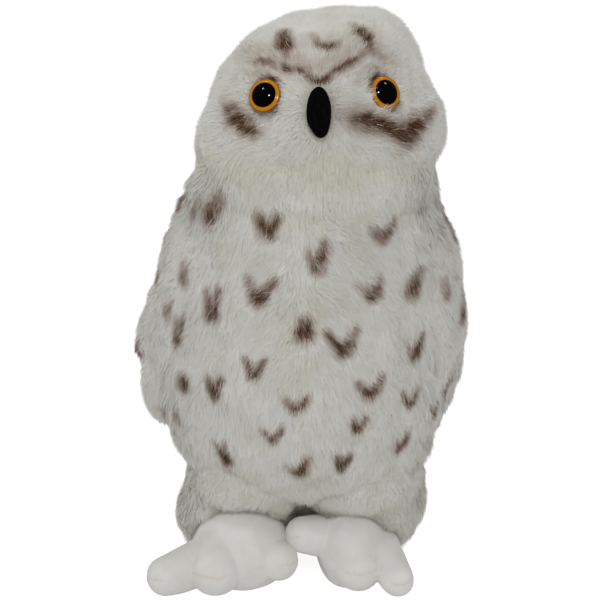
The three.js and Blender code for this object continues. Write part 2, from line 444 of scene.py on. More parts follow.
@dataclass(frozen=True)
class FeltFinish:
    """Short black pile of the beak."""

    name: str = "black_felt"
    black: Color = (0.0018, 0.0018, 0.0019)
    worn: Color = (0.0045, 0.0043, 0.0042)
    relief: float = 0.25 * MM

    def material(self) -> bpy.types.Material:
        """Builds the material."""
        nodes = Nodes(self.name)
        worn = nodes.range(nodes.noise(700.0), (0.4, 0.7), (0.0, 1.0))
        nodes.color(nodes.mix(worn, self.black, self.worn))
        nodes.set(Roughness=1.0, Specular_IOR_Level=0.03)
        nodes.bump(nodes.noise(1800.0, 2.0), self.relief)
        return nodes.material


@dataclass(frozen=True)
class PaperFinish:
    """White paper, lit through from below, and more so to the lens.

    Args:
        name: the material's name.
        white: its colour.
        glow: the light it gives the toy.
        seen: the light the lens sees it give.
    """

    name: str = "white_paper"
    white: Color = (0.6, 0.6, 0.6)
    glow: float = 0.25
    seen: float = 0.85

    def material(self) -> bpy.types.Material:
        """Builds the material."""
        nodes = Nodes(self.name)
        nodes.shader.inputs["Base Color"].default_value = (*self.white, 1.0)
        nodes.set(Roughness=1.0, Specular_IOR_Level=0.0)
        rays = nodes.tree.nodes.new("ShaderNodeLightPath")
        glow = nodes.range(rays.outputs["Is Camera Ray"], (0.0, 1.0), (self.glow, self.seen))
        nodes.tree.links.new(glow, nodes.shader.inputs["Emission Strength"])
        return nodes.material


@dataclass(frozen=True)
class GlossFinish:
    """Moulded glossy plastic of one colour, darkened by painted shade along its edges."""

    name: str
    body: Color
    deep: Color
    roughness: float
    gloss: float

    def material(self) -> bpy.types.Material:
        """Builds the material."""
        nodes = Nodes(self.name)
        nodes.color(nodes.mix(nodes.attribute("rim"), self.body, self.deep))
        nodes.set(Roughness=self.roughness, Specular_IOR_Level=self.gloss)
        return nodes.material


# The deep colour is painted shade at the eye's edges.
AMBER = GlossFinish("eye_amber", (0.62, 0.25, 0.008), (0.20, 0.055, 0.003), 0.18, 0.22)
PUPIL = GlossFinish("eye_black", (0.0012, 0.0012, 0.0012), (0.0012, 0.001, 0.001), 0.05, 0.25)


# ---------------------------------------------------------------- flecks


class Form(Enum):
    """The shapes that the flecks are sprayed in, as soft strokes in a box round their middle.

    Each stroke runs from one (across, up) point to another, as shares of the fleck's width and height, with
    its half-width at both ends, as a share of their mean, and how dark it is at both ends.
    """

    VEE = (
        ((-0.38, 0.36), (-0.05, -0.22), (0.15, 0.24), (0.6, 1.0)),
        ((0.40, 0.38), (0.03, -0.22), (0.16, 0.27), (0.65, 1.0)),
    )
    HEART = (
        ((-0.26, 0.26), (-0.02, -0.20), (0.23, 0.28), (0.75, 1.0)),
        ((0.28, 0.32), (0.02, -0.18), (0.21, 0.28), (0.8, 1.0)),
    )
    TICK = (
        ((-0.34, 0.16), (-0.06, -0.20), (0.14, 0.22), (0.35, 0.85)),
        ((0.28, 0.40), (0.06, -0.26), (0.18, 0.29), (0.75, 1.0)),
    )
    BOWL = (
        ((-0.38, 0.22), (-0.08, -0.16), (0.16, 0.25), (0.6, 1.0)),
        ((0.40, 0.38), (0.28, 0.06), (0.14, 0.19), (0.55, 0.85)),
        ((0.28, 0.06), (-0.02, -0.18), (0.19, 0.26), (0.85, 1.0)),
    )
    TALL = (
        ((-0.26, 0.34), (0.0, -0.26), (0.18, 0.30), (0.55, 1.0)),
        ((0.28, 0.42), (0.14, -0.24), (0.17, 0.30), (0.6, 1.0)),
    )
    DOT = (((0.03, 0.13), (0.0, -0.11), (0.40, 0.48), (0.85, 1.0)),)
    STREAK = (((0.22, 0.38), (-0.17, -0.28), (0.24, 0.36), (0.65, 1.0)),)


@dataclass(frozen=True)
class Stroke:
    """A sprayed line on the surface between two points, soft at its edges.

    Args:
        start: one end.
        end: the other.
        normal: the surface's normal there.
        radii: its half-width at both ends.
        darkness: how strongly it colours at both ends.
        core: how far out it is at its strongest, as a share of its half-width.
        edge: how far out it ends, in the same way.
        deep: how far below and above the surface it reaches.
    """

    start: np.ndarray
    end: np.ndarray
    normal: np.ndarray
    radii: Span
    darkness: Span
    core: float = 0.05
    edge: float = 1.45
    deep: float = 16 * MM

    def amount(self, points: np.ndarray) -> np.ndarray:
        """How strongly the line colours each point, from 0 to 1.

        Args:
            points: places on or over the surface, one row each.

        Returns:
            One share for each point.
        """
        run = self.end - self.start
        run = run - (run @ self.normal) * self.normal
        off = points - self.start
        height = off @ self.normal
        off = off - height[:, None] * self.normal
        share = np.clip(off @ run / max(run @ run, 1e-12), 0.0, 1.0)
        gap = np.linalg.norm(off - share[:, None] * run, axis=1)
        radius = self.radii[0] + (self.radii[1] - self.radii[0]) * share
        dark = self.darkness[0] + (self.darkness[1] - self.darkness[0]) * share
        amount = dark * (1.0 - smoothstep(self.core, self.edge, gap / radius))
        return np.where(np.abs(height) < self.deep, amount, 0.0)


@dataclass(frozen=True)
class Fleck:
    """One sprayed fleck on the front, placed as seen from straight ahead, in millimetres and degrees."""

    across: float
    height: float
    form: Form
    wide: float
    tall: float
    strength: float = 1.0
    turn: float = 0.0


FRONT_FLECKS = (
    Fleck(-43, 198, Form.STREAK, 17, 17, 0.85, 10),
    Fleck(-52, 196, Form.STREAK, 11, 12, 0.55, 10),
    Fleck(-61, 195, Form.STREAK, 8, 10, 0.3, 8),
    Fleck(-15, 192, Form.HEART, 15, 14),
    Fleck(9, 178, Form.TICK, 12, 16, 1.0, 3),
    Fleck(42, 188, Form.BOWL, 17, 12, 0.9, -4),
    Fleck(62, 197, Form.TALL, 6, 9, 0.35),
    Fleck(71, 195, Form.STREAK, 6, 9, 0.35),
    Fleck(75, 179, Form.STREAK, 6, 14, 0.25, -12),
    Fleck(-57, 163, Form.TALL, 8, 12, 0.75, 2),
    Fleck(-68, 165, Form.DOT, 5, 7, 0.35),
    Fleck(-43, 152, Form.TALL, 12, 16, 1.0, -3),
    Fleck(-19, 161, Form.VEE, 17, 14, 1.0, 2),
    Fleck(36, 161, Form.BOWL, 14, 13, 0.95, -8),
    Fleck(59, 161, Form.STREAK, 14, 12, 1.0, 4),
    Fleck(74, 155, Form.TALL, 7, 13, 0.6),
    Fleck(83, 150, Form.STREAK, 5, 9, 0.5),
    Fleck(-67, 143, Form.TALL, 8, 11, 0.6, 6),
    Fleck(-60, 135, Form.TALL, 10, 15, 0.85, -4),
    Fleck(3, 144, Form.DOT, 10, 11, 1.2),
    Fleck(22, 136, Form.VEE, 17, 14, 1.0, -3),
    Fleck(58, 129, Form.TICK, 13, 14, 1.0, 6),
    Fleck(-22, 123, Form.VEE, 12, 12, 0.95, 2),
    Fleck(-58, 109, Form.DOT, 10, 9, 0.95),
    Fleck(-42, 110, Form.HEART, 12, 13, 0.95),
    Fleck(-1, 106, Form.BOWL, 14, 10, 0.95, -2),
    Fleck(36, 112, Form.BOWL, 15, 13, 1.0, -4),
    Fleck(56, 103, Form.VEE, 11, 10, 0.95, -4),
    Fleck(69, 91, Form.VEE, 9, 9, 0.85, -4),
    Fleck(70, 115, Form.STREAK, 5, 10, 0.25, -10),
    Fleck(-61, 89, Form.DOT, 5, 9, 0.6),
    Fleck(30, 93, Form.HEART, 10, 10, 1.0, 6),
    Fleck(-13, 88, Form.BOWL, 12, 11, 0.95, -8),
    Fleck(52, 78, Form.TICK, 11, 12, 0.95, 14),
    Fleck(-38, 74, Form.TALL, 11, 15, 1.05, -5),
    Fleck(0, 69, Form.TICK, 16, 12, 1.0, -3),
    Fleck(22, 72, Form.HEART, 11, 12, 1.0, 6),
)


# The sprayed lines over the face, each through points as seen from ahead: across, height and half-width in
# millimetres, and darkness.
Line = tuple[tuple[float, float, float, float], ...]
FACE_LINES: tuple[Line, ...] = (
    (
        (-25, 270, 2.4, 0.2), (-19, 271, 2.0, 0.7), (-12, 270, 2.2, 0.6), (-8, 269, 2.4, 0.7),
        (-4, 268, 1.7, 0.95),
    ),
    ((-4, 268, 1.7, 0.95), (0, 268, 1.5, 1.0), (5, 267, 2.0, 0.9), (4, 266, 1.8, 0.6), (6, 264, 1.6, 0.9)),
    (
        (6, 264, 1.6, 0.95), (9, 263, 1.5, 1.05), (12, 263, 1.5, 1.05), (15, 265, 1.8, 0.9),
        (17, 267, 1.5, 0.85),
    ),
    (
        (17, 267, 1.4, 0.85), (20, 268, 1.5, 0.8), (24, 270, 1.8, 0.9), (28, 272, 1.5, 0.8),
        (32, 275, 2.0, 0.6),
    ),
    ((32, 275, 2.4, 0.45), (38, 275, 2.8, 0.5), (42, 273, 2.8, 0.45), (46, 270, 2.6, 0.2)),
    ((-30, 272, 4.0, 0.12), (-15, 274, 5.0, 0.30), (-4, 272, 5.0, 0.36), (8, 267, 4.5, 0.32)),
    ((8, 267, 4.5, 0.32), (20, 272, 5.0, 0.32), (34, 278, 5.0, 0.32), (46, 271, 4.5, 0.15)),
    ((-12, 279, 4.0, 0.12), (6, 279, 4.0, 0.18), (22, 280, 4.0, 0.2), (34, 283, 4.0, 0.15)),
    ((-24, 265, 2.6, 0.25), (-17, 266, 2.8, 0.40), (-11, 264, 2.2, 0.25)),
    ((28, 263, 2.0, 0.2), (32, 267, 2.2, 0.3), (37, 269, 2.2, 0.35), (43, 268, 2.0, 0.2)),
    ((-8, 282, 3.0, 0.7), (-7, 278, 3.8, 1.0), (-5, 274, 2.8, 0.5)),
    (
        (6, 283, 1.8, 0.35), (10, 279, 2.0, 0.7), (14, 278, 2.2, 1.0), (18, 278, 2.0, 0.75),
        (20, 280, 1.6, 0.4),
    ),
    (
        (26, 286, 2.0, 0.4), (30, 284, 2.6, 0.9), (33, 281, 2.9, 1.05), (35, 277, 2.4, 0.7),
        (34, 274, 2.2, 0.35),
    ),
    ((-37, 248, 2.6, 0.55), (-34, 245, 3.8, 0.9), (-30, 243, 3.6, 1.0), (-26, 240, 3.2, 1.0)),
    ((-26, 240, 3.2, 1.0), (-23, 238, 2.8, 0.85), (-18, 238, 1.8, 0.35)),
    (
        (23, 247, 3.0, 0.4), (29, 245, 4.2, 0.75), (33, 244, 4.2, 0.9), (38, 242, 3.8, 0.95),
        (44, 240, 3.6, 0.95),
    ),
    (
        (44, 240, 3.6, 0.95), (49, 238, 3.9, 1.0), (53, 236, 4.5, 1.05), (57, 238, 4.2, 1.0),
        (60, 241, 3.4, 0.85),
    ),
    ((60, 240, 3.2, 0.8), (64, 243, 2.8, 0.6), (68, 245, 2.4, 0.4), (72, 246, 2.0, 0.2)),
    ((46, 229, 2.4, 0.2), (50, 228, 2.4, 0.25)),
    ((-38, 248, 4.0, 0.15), (-32, 244, 4.6, 0.4), (-25, 238, 3.6, 0.25)),
    ((26, 246, 4.0, 0.15), (42, 241, 4.6, 0.3), (54, 236, 5.0, 0.4), (64, 241, 4.0, 0.2)),
)


# The dark fibres round each eye: degrees clockwise from the top as seen, half-width in millimetres
# and darkness.
RIGHT_LASHES = (
    (-110, 0.8, 0.5), (-75, 0.8, 0.55), (-40, 1.2, 0.75), (-10, 2.2, 1.0), (15, 2.7, 1.05), (40, 1.9, 0.9),
    (75, 0.8, 0.4), (120, 0.8, 0.5), (155, 1.0, 0.6), (190, 1.1, 0.7), (225, 1.1, 0.7),
)
LEFT_LASHES = (
    (-70, 1.4, 0.6), (-45, 2.4, 0.9), (-20, 2.6, 1.0), (8, 1.6, 0.8), (40, 1.0, 0.7), (75, 0.9, 0.6),
    (110, 1.2, 0.7), (140, 2.6, 1.0), (162, 2.0, 0.8), (185, 0.9, 0.4),
)


@dataclass
class Spray:
    """All the brown that is sprayed on the toy.

    Args:
        surface: what it is sprayed on.
        middle: the middle of the body, which the sides and the back are sprayed towards.
        strokes: what has been sprayed so far.
        reach: how far out the sprayer starts.
        fray: how ragged the edges are.
        spread: how much a fleck grows as it is sprayed.
        bleed: how much wider its strokes get.
        finest: the narrowest half-width of a fleck's stroke.
        feather: how much wider a line gets.
        dose: how much stronger everything is sprayed than it was marked out.
        arc: half the angle of each arc round an eye, in degrees.
    """

    surface: BVHTree
    middle: Vector
    strokes: list[Stroke] = field(default_factory=list)
    reach: float = 0.4
    fray: float = 0.5 * MM
    spread: float = 1.1
    bleed: float = 1.2
    finest: float = 1.5 * MM
    feather: float = 1.75
    dose: float = 1.2
    arc: float = 16.0

    def ahead(self, across: float, height: float) -> tuple[Vector, Vector] | None:
        """Finds the surface straight ahead of a place.

        Args:
            across: the place's x, in millimetres.
            height: its z, in millimetres.

        Returns:
            The point and the surface's normal there, or None off the toy.
        """
        hit = self.surface.ray_cast(Vector((across * MM, -self.reach, height * MM)), Vector((0.0, 1.0, 0.0)))
        return (hit[0], hit[1]) if hit[0] else None

    def round(self, azimuth: float, height: float) -> tuple[Vector, Vector] | None:
        """Finds the surface from the side or behind.

        Args:
            azimuth: degrees from the front towards the owl's left.
            height: how high, in metres.

        Returns:
            The point and the surface's normal there, or None off the toy.
        """
        turn = math.radians(azimuth)
        out = Vector((math.sin(turn), -math.cos(turn), 0.0))
        start = Vector((self.middle.x, self.middle.y, height)) + out * self.reach
        hit = self.surface.ray_cast(start, -out)
        return (hit[0], hit[1]) if hit[0] else None

    def fleck(self, place: tuple[Vector, Vector] | None, mark: Fleck) -> None:
        """Sprays one fleck.

        Args:
            place: the point and normal of its middle, or None for no fleck.
            mark: the fleck's form, size, strength and turn; its own place is not read.
        """
        if place is None:
            return
        point, normal = (np.array(v) for v in place)
        up = along_surface(UP, normal)
        across = np.cross(up, normal)
        cosine, sine = math.cos(math.radians(mark.turn)), math.sin(math.radians(mark.turn))
        across, up = across * cosine - up * sine, across * sine + up * cosine
        mean = (mark.wide + mark.tall) / 2
        wide, tall = self.spread * mark.wide * MM * across, self.spread * mark.tall * MM * up
        for start, end, radii, shares in mark.form.value:
            ends = [point + x * wide + y * tall for x, y in (start, end)]
            half_widths = tuple(max(self.bleed * share * mean * MM, self.finest) for share in radii)
            darkness = tuple(self.dose * mark.strength * share for share in shares)
            self.strokes.append(Stroke(*ends, normal, half_widths, darkness))

    def line(self, line: Line) -> None:
        """Sprays a line through its points."""
        feather = self.feather * MM
        found = [(self.ahead(x, z), radius * feather, self.dose * dark) for x, z, radius, dark in line]
        found = [item for item in found if item[0]]
        for (one, one_radius, one_dark), (two, two_radius, two_dark) in zip(found, found[1:]):
            normal = np.array((one[1] + two[1]).normalized())
            ends = (np.array(one[0]), np.array(two[0]))
            self.strokes.append(Stroke(*ends, normal, (one_radius, two_radius), (one_dark, two_dark)))

    def ring(self, eye: "Eye", radius: float, arcs: tuple[tuple[float, float, float], ...]) -> None:
        """Sprays arcs round an eye.

        Args:
            eye: the eye.
            radius: the arcs' radius.
            arcs: each one's middle in degrees clockwise from the top, its half-width and its strength.
        """
        centre, normal = np.array(eye.centre), np.array(eye.axis)
        up = along_surface(UP, normal)
        across = np.cross(up, normal)
        for angle, width, strength in arcs:
            ends = []
            for step in (-self.arc, self.arc):
                turn = math.radians(angle + step)
                ends.append(centre + radius * (math.sin(turn) * across + math.cos(turn) * up))
            self.strokes.append(Stroke(*ends, normal, (width * MM, width * MM), (strength, strength)))

    def scatter(self, rng: np.random.Generator, low: float, high: float) -> None:
        """Sprays staggered rows of flecks over the sides and the back.

        Args:
            rng: where the small differences come from.
            low: the lowest row's height.
            high: the highest row's.
        """
        forms = (Form.VEE, Form.BOWL, Form.TICK, Form.HEART, Form.BOWL, Form.TALL)
        for azimuth, height in self.staggered(np.linspace(low, high, 8), 84.0, 276.0, 22.0):
            turn, shift, drop = rng.normal(0.0, (6.0, 2.5, 3.0 * MM))
            form = forms[rng.integers(len(forms))]
            wide, tall = (10, 15) if form is Form.TALL else (rng.uniform(12, 16), rng.uniform(11, 14))
            mark = Fleck(0, 0, form, wide, tall, rng.uniform(0.75, 1.0), turn)
            self.fleck(self.round(azimuth + shift, height + drop), mark)

    def crown(self, rng: np.random.Generator, low: float, high: float) -> None:
        """Sprays small spots over the back of the head, in rows between two heights."""
        forms = (Form.DOT, Form.TALL, Form.BOWL)
        for azimuth, height in self.staggered(np.linspace(low, high, 4), 108.0, 256.0, 34.0):
            turn, shift = rng.normal(0.0, (10.0, 4.0))
            form = forms[rng.integers(len(forms))]
            mark = Fleck(0, 0, form, rng.uniform(8, 11), rng.uniform(8, 11), rng.uniform(0.5, 0.8), turn)
            self.fleck(self.round(azimuth + shift, height), mark)

    @staticmethod
    def staggered(heights: np.ndarray, first: float, last: float, step: float) -> list[Span]:
        """Lays out rows of places, every other row half a step on.

        Args:
            heights: the rows' heights.
            first: the azimuth that the rows start from.
            last: the azimuth that they stop before.
            step: how far apart the places in a row are.

        Returns:
            The azimuth and the height of each place.
        """
        places = []
        for row, height in enumerate(heights):
            shift = step / 2 * (row % 2)
            places += [(azimuth, height) for azimuth in np.arange(first + shift, last, step)]
        return places

    def amount(self, points: np.ndarray) -> np.ndarray:
        """How brown each point is, from 0 to 1.

        Args:
            points: places on or over the surface, one row each.

        Returns:
            One share for each point.
        """
        fray = np.stack([ripple(points, 4.5 * MM, seed) for seed in (31, 32, 33)], 1)
        frayed = points + self.fray * fray
        total = np.zeros(len(points))
        order = np.argsort(points[:, 2])
        heights = points[order, 2]
        for stroke in self.strokes:
            radius = 1.6 * max(stroke.radii)
            low = min(stroke.start[2], stroke.end[2]) - radius - 12 * MM
            high = max(stroke.start[2], stroke.end[2]) + radius + 12 * MM
            near = order[np.searchsorted(heights, low) : np.searchsorted(heights, high)]
            middle = (stroke.start + stroke.end) / 2
            reach = np.linalg.norm(stroke.end - stroke.start) / 2 + radius + 16 * MM
            near = near[((points[near] - middle) ** 2).sum(1) < reach * reach]
            total[near] = np.maximum(total[near], stroke.amount(frayed[near]))
        mottle = np.clip(0.93 + 0.2 * ripple(points, 7 * MM, 34), 0.45, 1.1)
        return np.clip(total * mottle, 0.0, 1.0)


# ---------------------------------------------------------------- the shell and its pile


@dataclass(frozen=True)
class Pile:
    """How the pile stands on one part of the shell.

    Args:
        depth: from the shell to the tips of the pile.
        length: the fibres' length.
        crowding: how many tufts stand on an area, compared with the belly.
    """

    depth: float
    length: float
    crowding: float


PILES = {
    "head": Pile(4.9 * MM, 7.5 * MM, 1.15),
    "neck": Pile(5.2 * MM, 8.5 * MM, 1.0),
    "trunk": Pile(5.6 * MM, 9.5 * MM, 1.0),
    "wing_right": Pile(4.0 * MM, 7.5 * MM, 0.95),
    "wing_left": Pile(4.0 * MM, 7.5 * MM, 0.95),
    "tail": Pile(3.6 * MM, 8.0 * MM, 0.7),
    "leg_right": Pile(4.8 * MM, 8.5 * MM, 1.15),
    "leg_left": Pile(4.8 * MM, 8.5 * MM, 1.15),
}


# The back and the rim of an eye, as shares of its radius and of its bulge.
EYE_RIM = ((0.0, -0.85), (0.7, -0.6), (0.95, -0.2), (1.0, -0.02), (0.985, 0.10), (0.94, 0.17))


@dataclass
class Eye:
    """A moulded safety eye: an amber rim round a domed black pupil, lapped by the pile on one side.

    Args:
        side: which eye.
        lapped: the way, from its middle, to where the pile laps over it.
        pupil: the pupil's radius, as a share of the eye's.
        segments: how many facets go round it.
    """

    side: str
    lapped: tuple[float, float, float]
    centre: Vector = field(init=False)
    axis: Vector = field(init=False)
    radius: float = field(init=False)
    bulge: float = field(init=False)
    pupil: float = 0.745
    segments: int = 64

    def __post_init__(self) -> None:
        """Reads the eye's place, size and heading from its solid."""
        low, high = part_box(f"eye_{self.side}")
        self.centre = (low + high) / 2
        shape = cad_copy(bpy.data.objects[f"eye_{self.side}"])
        points = np.array([vert.co for vert in shape.verts]) - np.array(self.centre)
        shape.free()
        axis = np.linalg.svd(points, full_matrices=False)[2][2]
        axis *= -math.copysign(1.0, axis[1])
        self.axis = Vector(axis)
        self.bulge = float(np.abs(points @ axis).max())
        self.radius = float(np.linalg.norm(points - np.outer(points @ axis, axis), axis=1).max())

    def gap(self, points: np.ndarray) -> np.ndarray:
        """How far each point lies from the eye's middle."""
        return np.linalg.norm(points - np.array(self.centre), axis=1)

    def lapping(self, points: np.ndarray) -> np.ndarray:
        """How far each point lies towards the side where the pile laps over the eye, at most 1."""
        return unit(points - np.array(self.centre)) @ np.array(self.lapped)

    def profile(self) -> list[tuple[float, float]]:
        """The half outline of the eye, as (radius, height) from its back to the top of its dome."""
        rim, edge = self.radius, self.pupil * self.radius
        outline = [(wide * rim, high * self.bulge) for wide, high in EYE_RIM]
        outline += [(edge + 0.5 * MM, 0.26 * self.bulge), (edge + 0.12 * MM, 0.28 * self.bulge)]
        foot, curve, steps = 0.30 * self.bulge, 1.15 * rim, 12
        sunk = foot - math.sqrt(curve**2 - edge**2)
        outline.append((edge, foot))
        for step in range(steps):
            spread = edge * 0.985 * math.cos(math.pi / 2 * step / steps)
            outline.append((spread, sunk + math.sqrt(curve**2 - spread**2)))
        return [*outline, (0.0, sunk + curve)]

    def build(self) -> bpy.types.Object:
        """Spins the outline about the eye's axis and gives it its two plastics.

        Returns:
            The eye's piece.
        """
        shape = bmesh.new()
        outline = [shape.verts.new((r, 0.0, h)) for r, h in self.profile()]
        run = [shape.edges.new(pair) for pair in zip(outline, outline[1:])]
        bmesh.ops.spin(
            shape, geom=outline + run, cent=(0, 0, 0), axis=(0, 0, 1), angle=2 * math.pi,
            steps=self.segments, use_merge=True,
        )
        bmesh.ops.remove_doubles(shape, verts=shape.verts, dist=10 * WELD)
        bmesh.ops.recalc_face_normals(shape, faces=shape.faces)
        for face in shape.faces:
            place = face.calc_center_median()
            face.material_index = int(place.xy.length < self.pupil * self.radius and place.z > 0.0)
        shares = np.array([vert.co.xy.length / self.radius for vert in shape.verts])
        turn = self.axis.to_track_quat("Z", "Y").to_matrix().to_4x4()
        bmesh.ops.transform(shape, matrix=Matrix.Translation(self.centre) @ turn, verts=shape.verts)
        piece = new_object(f"safety_eye_{self.side}", mesh_from(shape, f"safety_eye_{self.side}"))
        # Painted shade: the amber darkens at its outer edge, where the pile meets it, and beside the pupil's
        # step.
        shade_by_pupil = 0.6 * smoothstep(self.pupil + 0.08, self.pupil, shares)
        store(piece.data, "rim", np.maximum(smoothstep(0.90, 1.0, shares), shade_by_pupil))
        for finish in (AMBER, PUPIL):
            piece.data.materials.append(bpy.data.materials.get(finish.name) or finish.material())
        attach(piece, BODY)
        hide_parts(f"eye_{self.side}")
        return piece


@dataclass
class Beak:
    """A small stuffed beak in black felt, full above, blunt and a little twisted at its tip."""

    voxel: float = 0.6 * MM
    rounds: int = 5
    pinch: float = 0.8 * MM

    def build(self) -> bpy.types.Object:
        """Rounds the beak's solid, pulls in its seam and gives it its felt.

        Returns:
            The beak's piece.
        """
        mesh = remeshed(mesh_from(cad_copy(bpy.data.objects["beak"]), "beak_form"), self.voxel)
        mesh.name = "felt_beak"
        low, high = box_of("beak")
        places = relaxed(coords(mesh), edges(mesh), self.rounds)
        share = (places[:, 2] - low[2]) / (high[2] - low[2])
        middle = (low[0] + high[0]) / 2
        to_right = places[:, 0] < middle
        nip = hump(share - 0.17, 0.07)
        places[:, 0] += np.where(to_right, 0.5, -0.1) * self.pinch * nip
        places[:, 0] += self.pinch * smoothstep(0.35, 0.0, share)
        set_coords(mesh, places)
        piece = new_object("felt_beak", mesh)
        mesh.materials.append(FeltFinish().material())
        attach(piece, BODY)
        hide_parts("beak")
        return piece


# Paths over the front, across and up in millimetres: where the belly is sewn to the legs, dipping to a point
# between them; a fold down the left thigh; and the slit between the legs.
HIPS = (
    (-60, 58), (-46, 64), (-33, 65), (-21, 59), (-10, 53), (-3, 47), (3, 40),
    (11, 48), (22, 54), (33, 59), (43, 61), (54, 62), (68, 59),
)
THIGH_FOLD = ((42, 61), (45, 46), (47, 28))
CROTCH = ((2, 41), (0, 30))

# The seams between the solids: the two it joins, how deep it is drawn in and how wide, in millimetres.
SEWN = (
    ("head", "neck", 1.2, 6.0),
    ("neck", "trunk", 0.7, 4.0),
    ("trunk", "wing_right", 1.2, 3.5),
    ("trunk", "wing_left", 1.0, 3.5),
    ("trunk", "tail", 2.0, 5.0),
)


# The soft lumps of the filling and the pile: how deep, how long, both in millimetres, and which waves.
LUMPS = ((0.8, 40, 11), (0.5, 24, 12), (0.32, 13, 13), (0.2, 9, 14))


@dataclass
class Shell:
    """The sewn plush shell: one closed surface for the head, trunk, wings, tail and legs, under the pile.

    Args:
        eyes: the eyes that it is trimmed round.
        voxel: the size of its faces.
        swell: how far the solids are pushed out first, so that neighbours join.
        rounding: how many rounds of smoothing the whole wrap gets.
        blending: how many more the gathers at the legs get.
        easing: how many more the collar gets.
        steps: how many steps the wrap is drawn in by.
        most: the most of the toy's thickness that the pile may take on one side.
    """

    eyes: tuple[Eye, ...]
    voxel: float = 2.0 * MM
    swell: float = 0.5 * MM
    rounding: int = 10
    blending: int = 60
    easing: int = 130
    steps: int = 5
    most: float = 0.42
    piece: bpy.types.Object = field(init=False)
    points: np.ndarray = field(init=False)
    normal: np.ndarray = field(init=False)
    lie: np.ndarray = field(init=False)
    nodes: tuple[str, ...] = tuple(PILES)
    part: np.ndarray = field(init=False)
    other: np.ndarray = field(init=False)
    margin: np.ndarray = field(init=False)
    length: np.ndarray = field(init=False)
    crowding: np.ndarray = field(init=False)
    cream_and_shade: np.ndarray = field(init=False)
    stand: np.ndarray = field(init=False)
    lap: np.ndarray = field(init=False)
    outside: BVHTree = field(init=False)

    def build(self) -> bpy.types.Object:
        """Wraps the fleshy solids, draws the wrap in by the pile's depth and sews its creases.

        Returns:
            The shell's piece.
        """
        whole = bmesh.new()
        for name in self.nodes:
            whole.from_mesh(mesh_from(cad_copy(bpy.data.objects[name], self.swell), name))
        mesh = remeshed(mesh_from(whole, "shell_form"), self.voxel)
        mesh.name = "plush_shell"
        links = edges(mesh)
        outer = self.rounded(mesh, links)
        set_coords(mesh, outer)
        self.outside = self.tree(mesh, outer)
        self.part, self.other, self.margin = self.nearest_parts(outer)
        depth = np.array([PILES[name].depth for name in self.nodes])[self.part]
        depth = self.trimmed(outer, depth, by_eye=3.2 * MM, by_beak=3.5 * MM)
        depth = np.minimum(relaxed(depth, links, 12), self.room(mesh, outer) * self.most)
        depth = relaxed(depth, links, 6)
        inner = outer
        for _ in range(self.steps):
            inner = inner - normals(mesh) * (depth / self.steps)[:, None]
            inner = relaxed(inner, links, 2)
            set_coords(mesh, inner)
        inner = inner - normals(mesh) * self.creases(inner)[:, None]
        set_coords(mesh, relaxed(inner, links, 2, 0.4))
        self.read(mesh, links)
        self.piece = new_object("plush_shell", mesh)
        mesh.materials.append(BackingFinish().material())
        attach(self.piece, BODY)
        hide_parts(*self.nodes)
        return self.piece

    def rounded(self, mesh: bpy.types.Mesh, links: np.ndarray) -> np.ndarray:
        """Rounds the wrap: lightly all over, and more round the collar and where each leg is gathered.

        Args:
            mesh: the wrap.
            links: its edges.

        Returns:
            Its rounded vertices.
        """
        light = relaxed(coords(mesh), links, self.rounding)
        heavy = relaxed(light, links, self.blending)
        flowing = relaxed(heavy, links, self.easing)
        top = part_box("trunk")[1].z
        collar = hump(light[:, 2] - top + 4 * MM, 13 * MM)
        legs = 0.9 * smoothstep(84 * MM, 66 * MM, light[:, 2])
        blended = light + legs[:, None] * (heavy - light) + 0.9 * collar[:, None] * (flowing - light)
        set_coords(mesh, blended)
        return blended + normals(mesh) * (0.8 * MM * legs + 1.0 * MM * collar)[:, None]

    def read(self, mesh: bpy.types.Mesh, links: np.ndarray) -> None:
        """Works out how the pile stands at each of the shell's vertices."""
        self.points = coords(mesh)
        self.normal = normals(mesh)
        length = np.array([PILES[name].length for name in self.nodes])[self.part]
        crowding = np.array([PILES[name].crowding for name in self.nodes])[self.part]
        hem = smoothstep(48 * MM, 25 * MM, self.points[:, 2])
        inner = smoothstep(60 * MM, 35 * MM, np.abs(self.points[:, 0] - MIDDLE))
        fringe = 1.0 + hem * inner * (0.3 + 0.4 * ripple(self.points, 12 * MM, 19))
        fringe -= 0.2 * (1.0 - inner) * smoothstep(66 * MM, 54 * MM, self.points[:, 2])
        fringe -= 0.2 * hump(off_path(self.points, HIPS), 6 * MM)
        fringe -= 0.25 * hump(off_path(self.points, CROTCH), 6 * MM)
        length = relaxed(length, links, 12) * fringe
        self.length = self.trimmed(self.points, length, by_eye=4.0 * MM, by_beak=5.0 * MM)
        self.crowding = relaxed(crowding, links, 6)
        # Painted shade in the seams, creases and low on the legs, as cream, with random creamy clouds.
        self.cream_and_shade = self.creamed_and_shaded(self.points)
        at_eyes, at_beak = self.clearances(self.points)
        by_eyes, by_beak = smoothstep(4.5 * MM, 0.5 * MM, at_eyes), smoothstep(4 * MM, 0.0, at_beak)
        self.stand = np.maximum(by_eyes, 0.5 * by_beak)
        self.lap = np.zeros(len(self.points))
        for eye in self.eyes:
            lap = smoothstep(0.3, 0.8, eye.lapping(self.points))
            lap *= smoothstep(2.0 * eye.radius, 1.4 * eye.radius, eye.gap(self.points))
            self.length += 5.5 * MM * lap
            self.stand *= 1.0 - lap
            self.lap = np.maximum(self.lap, lap)
        self.lie = self.combed(links)

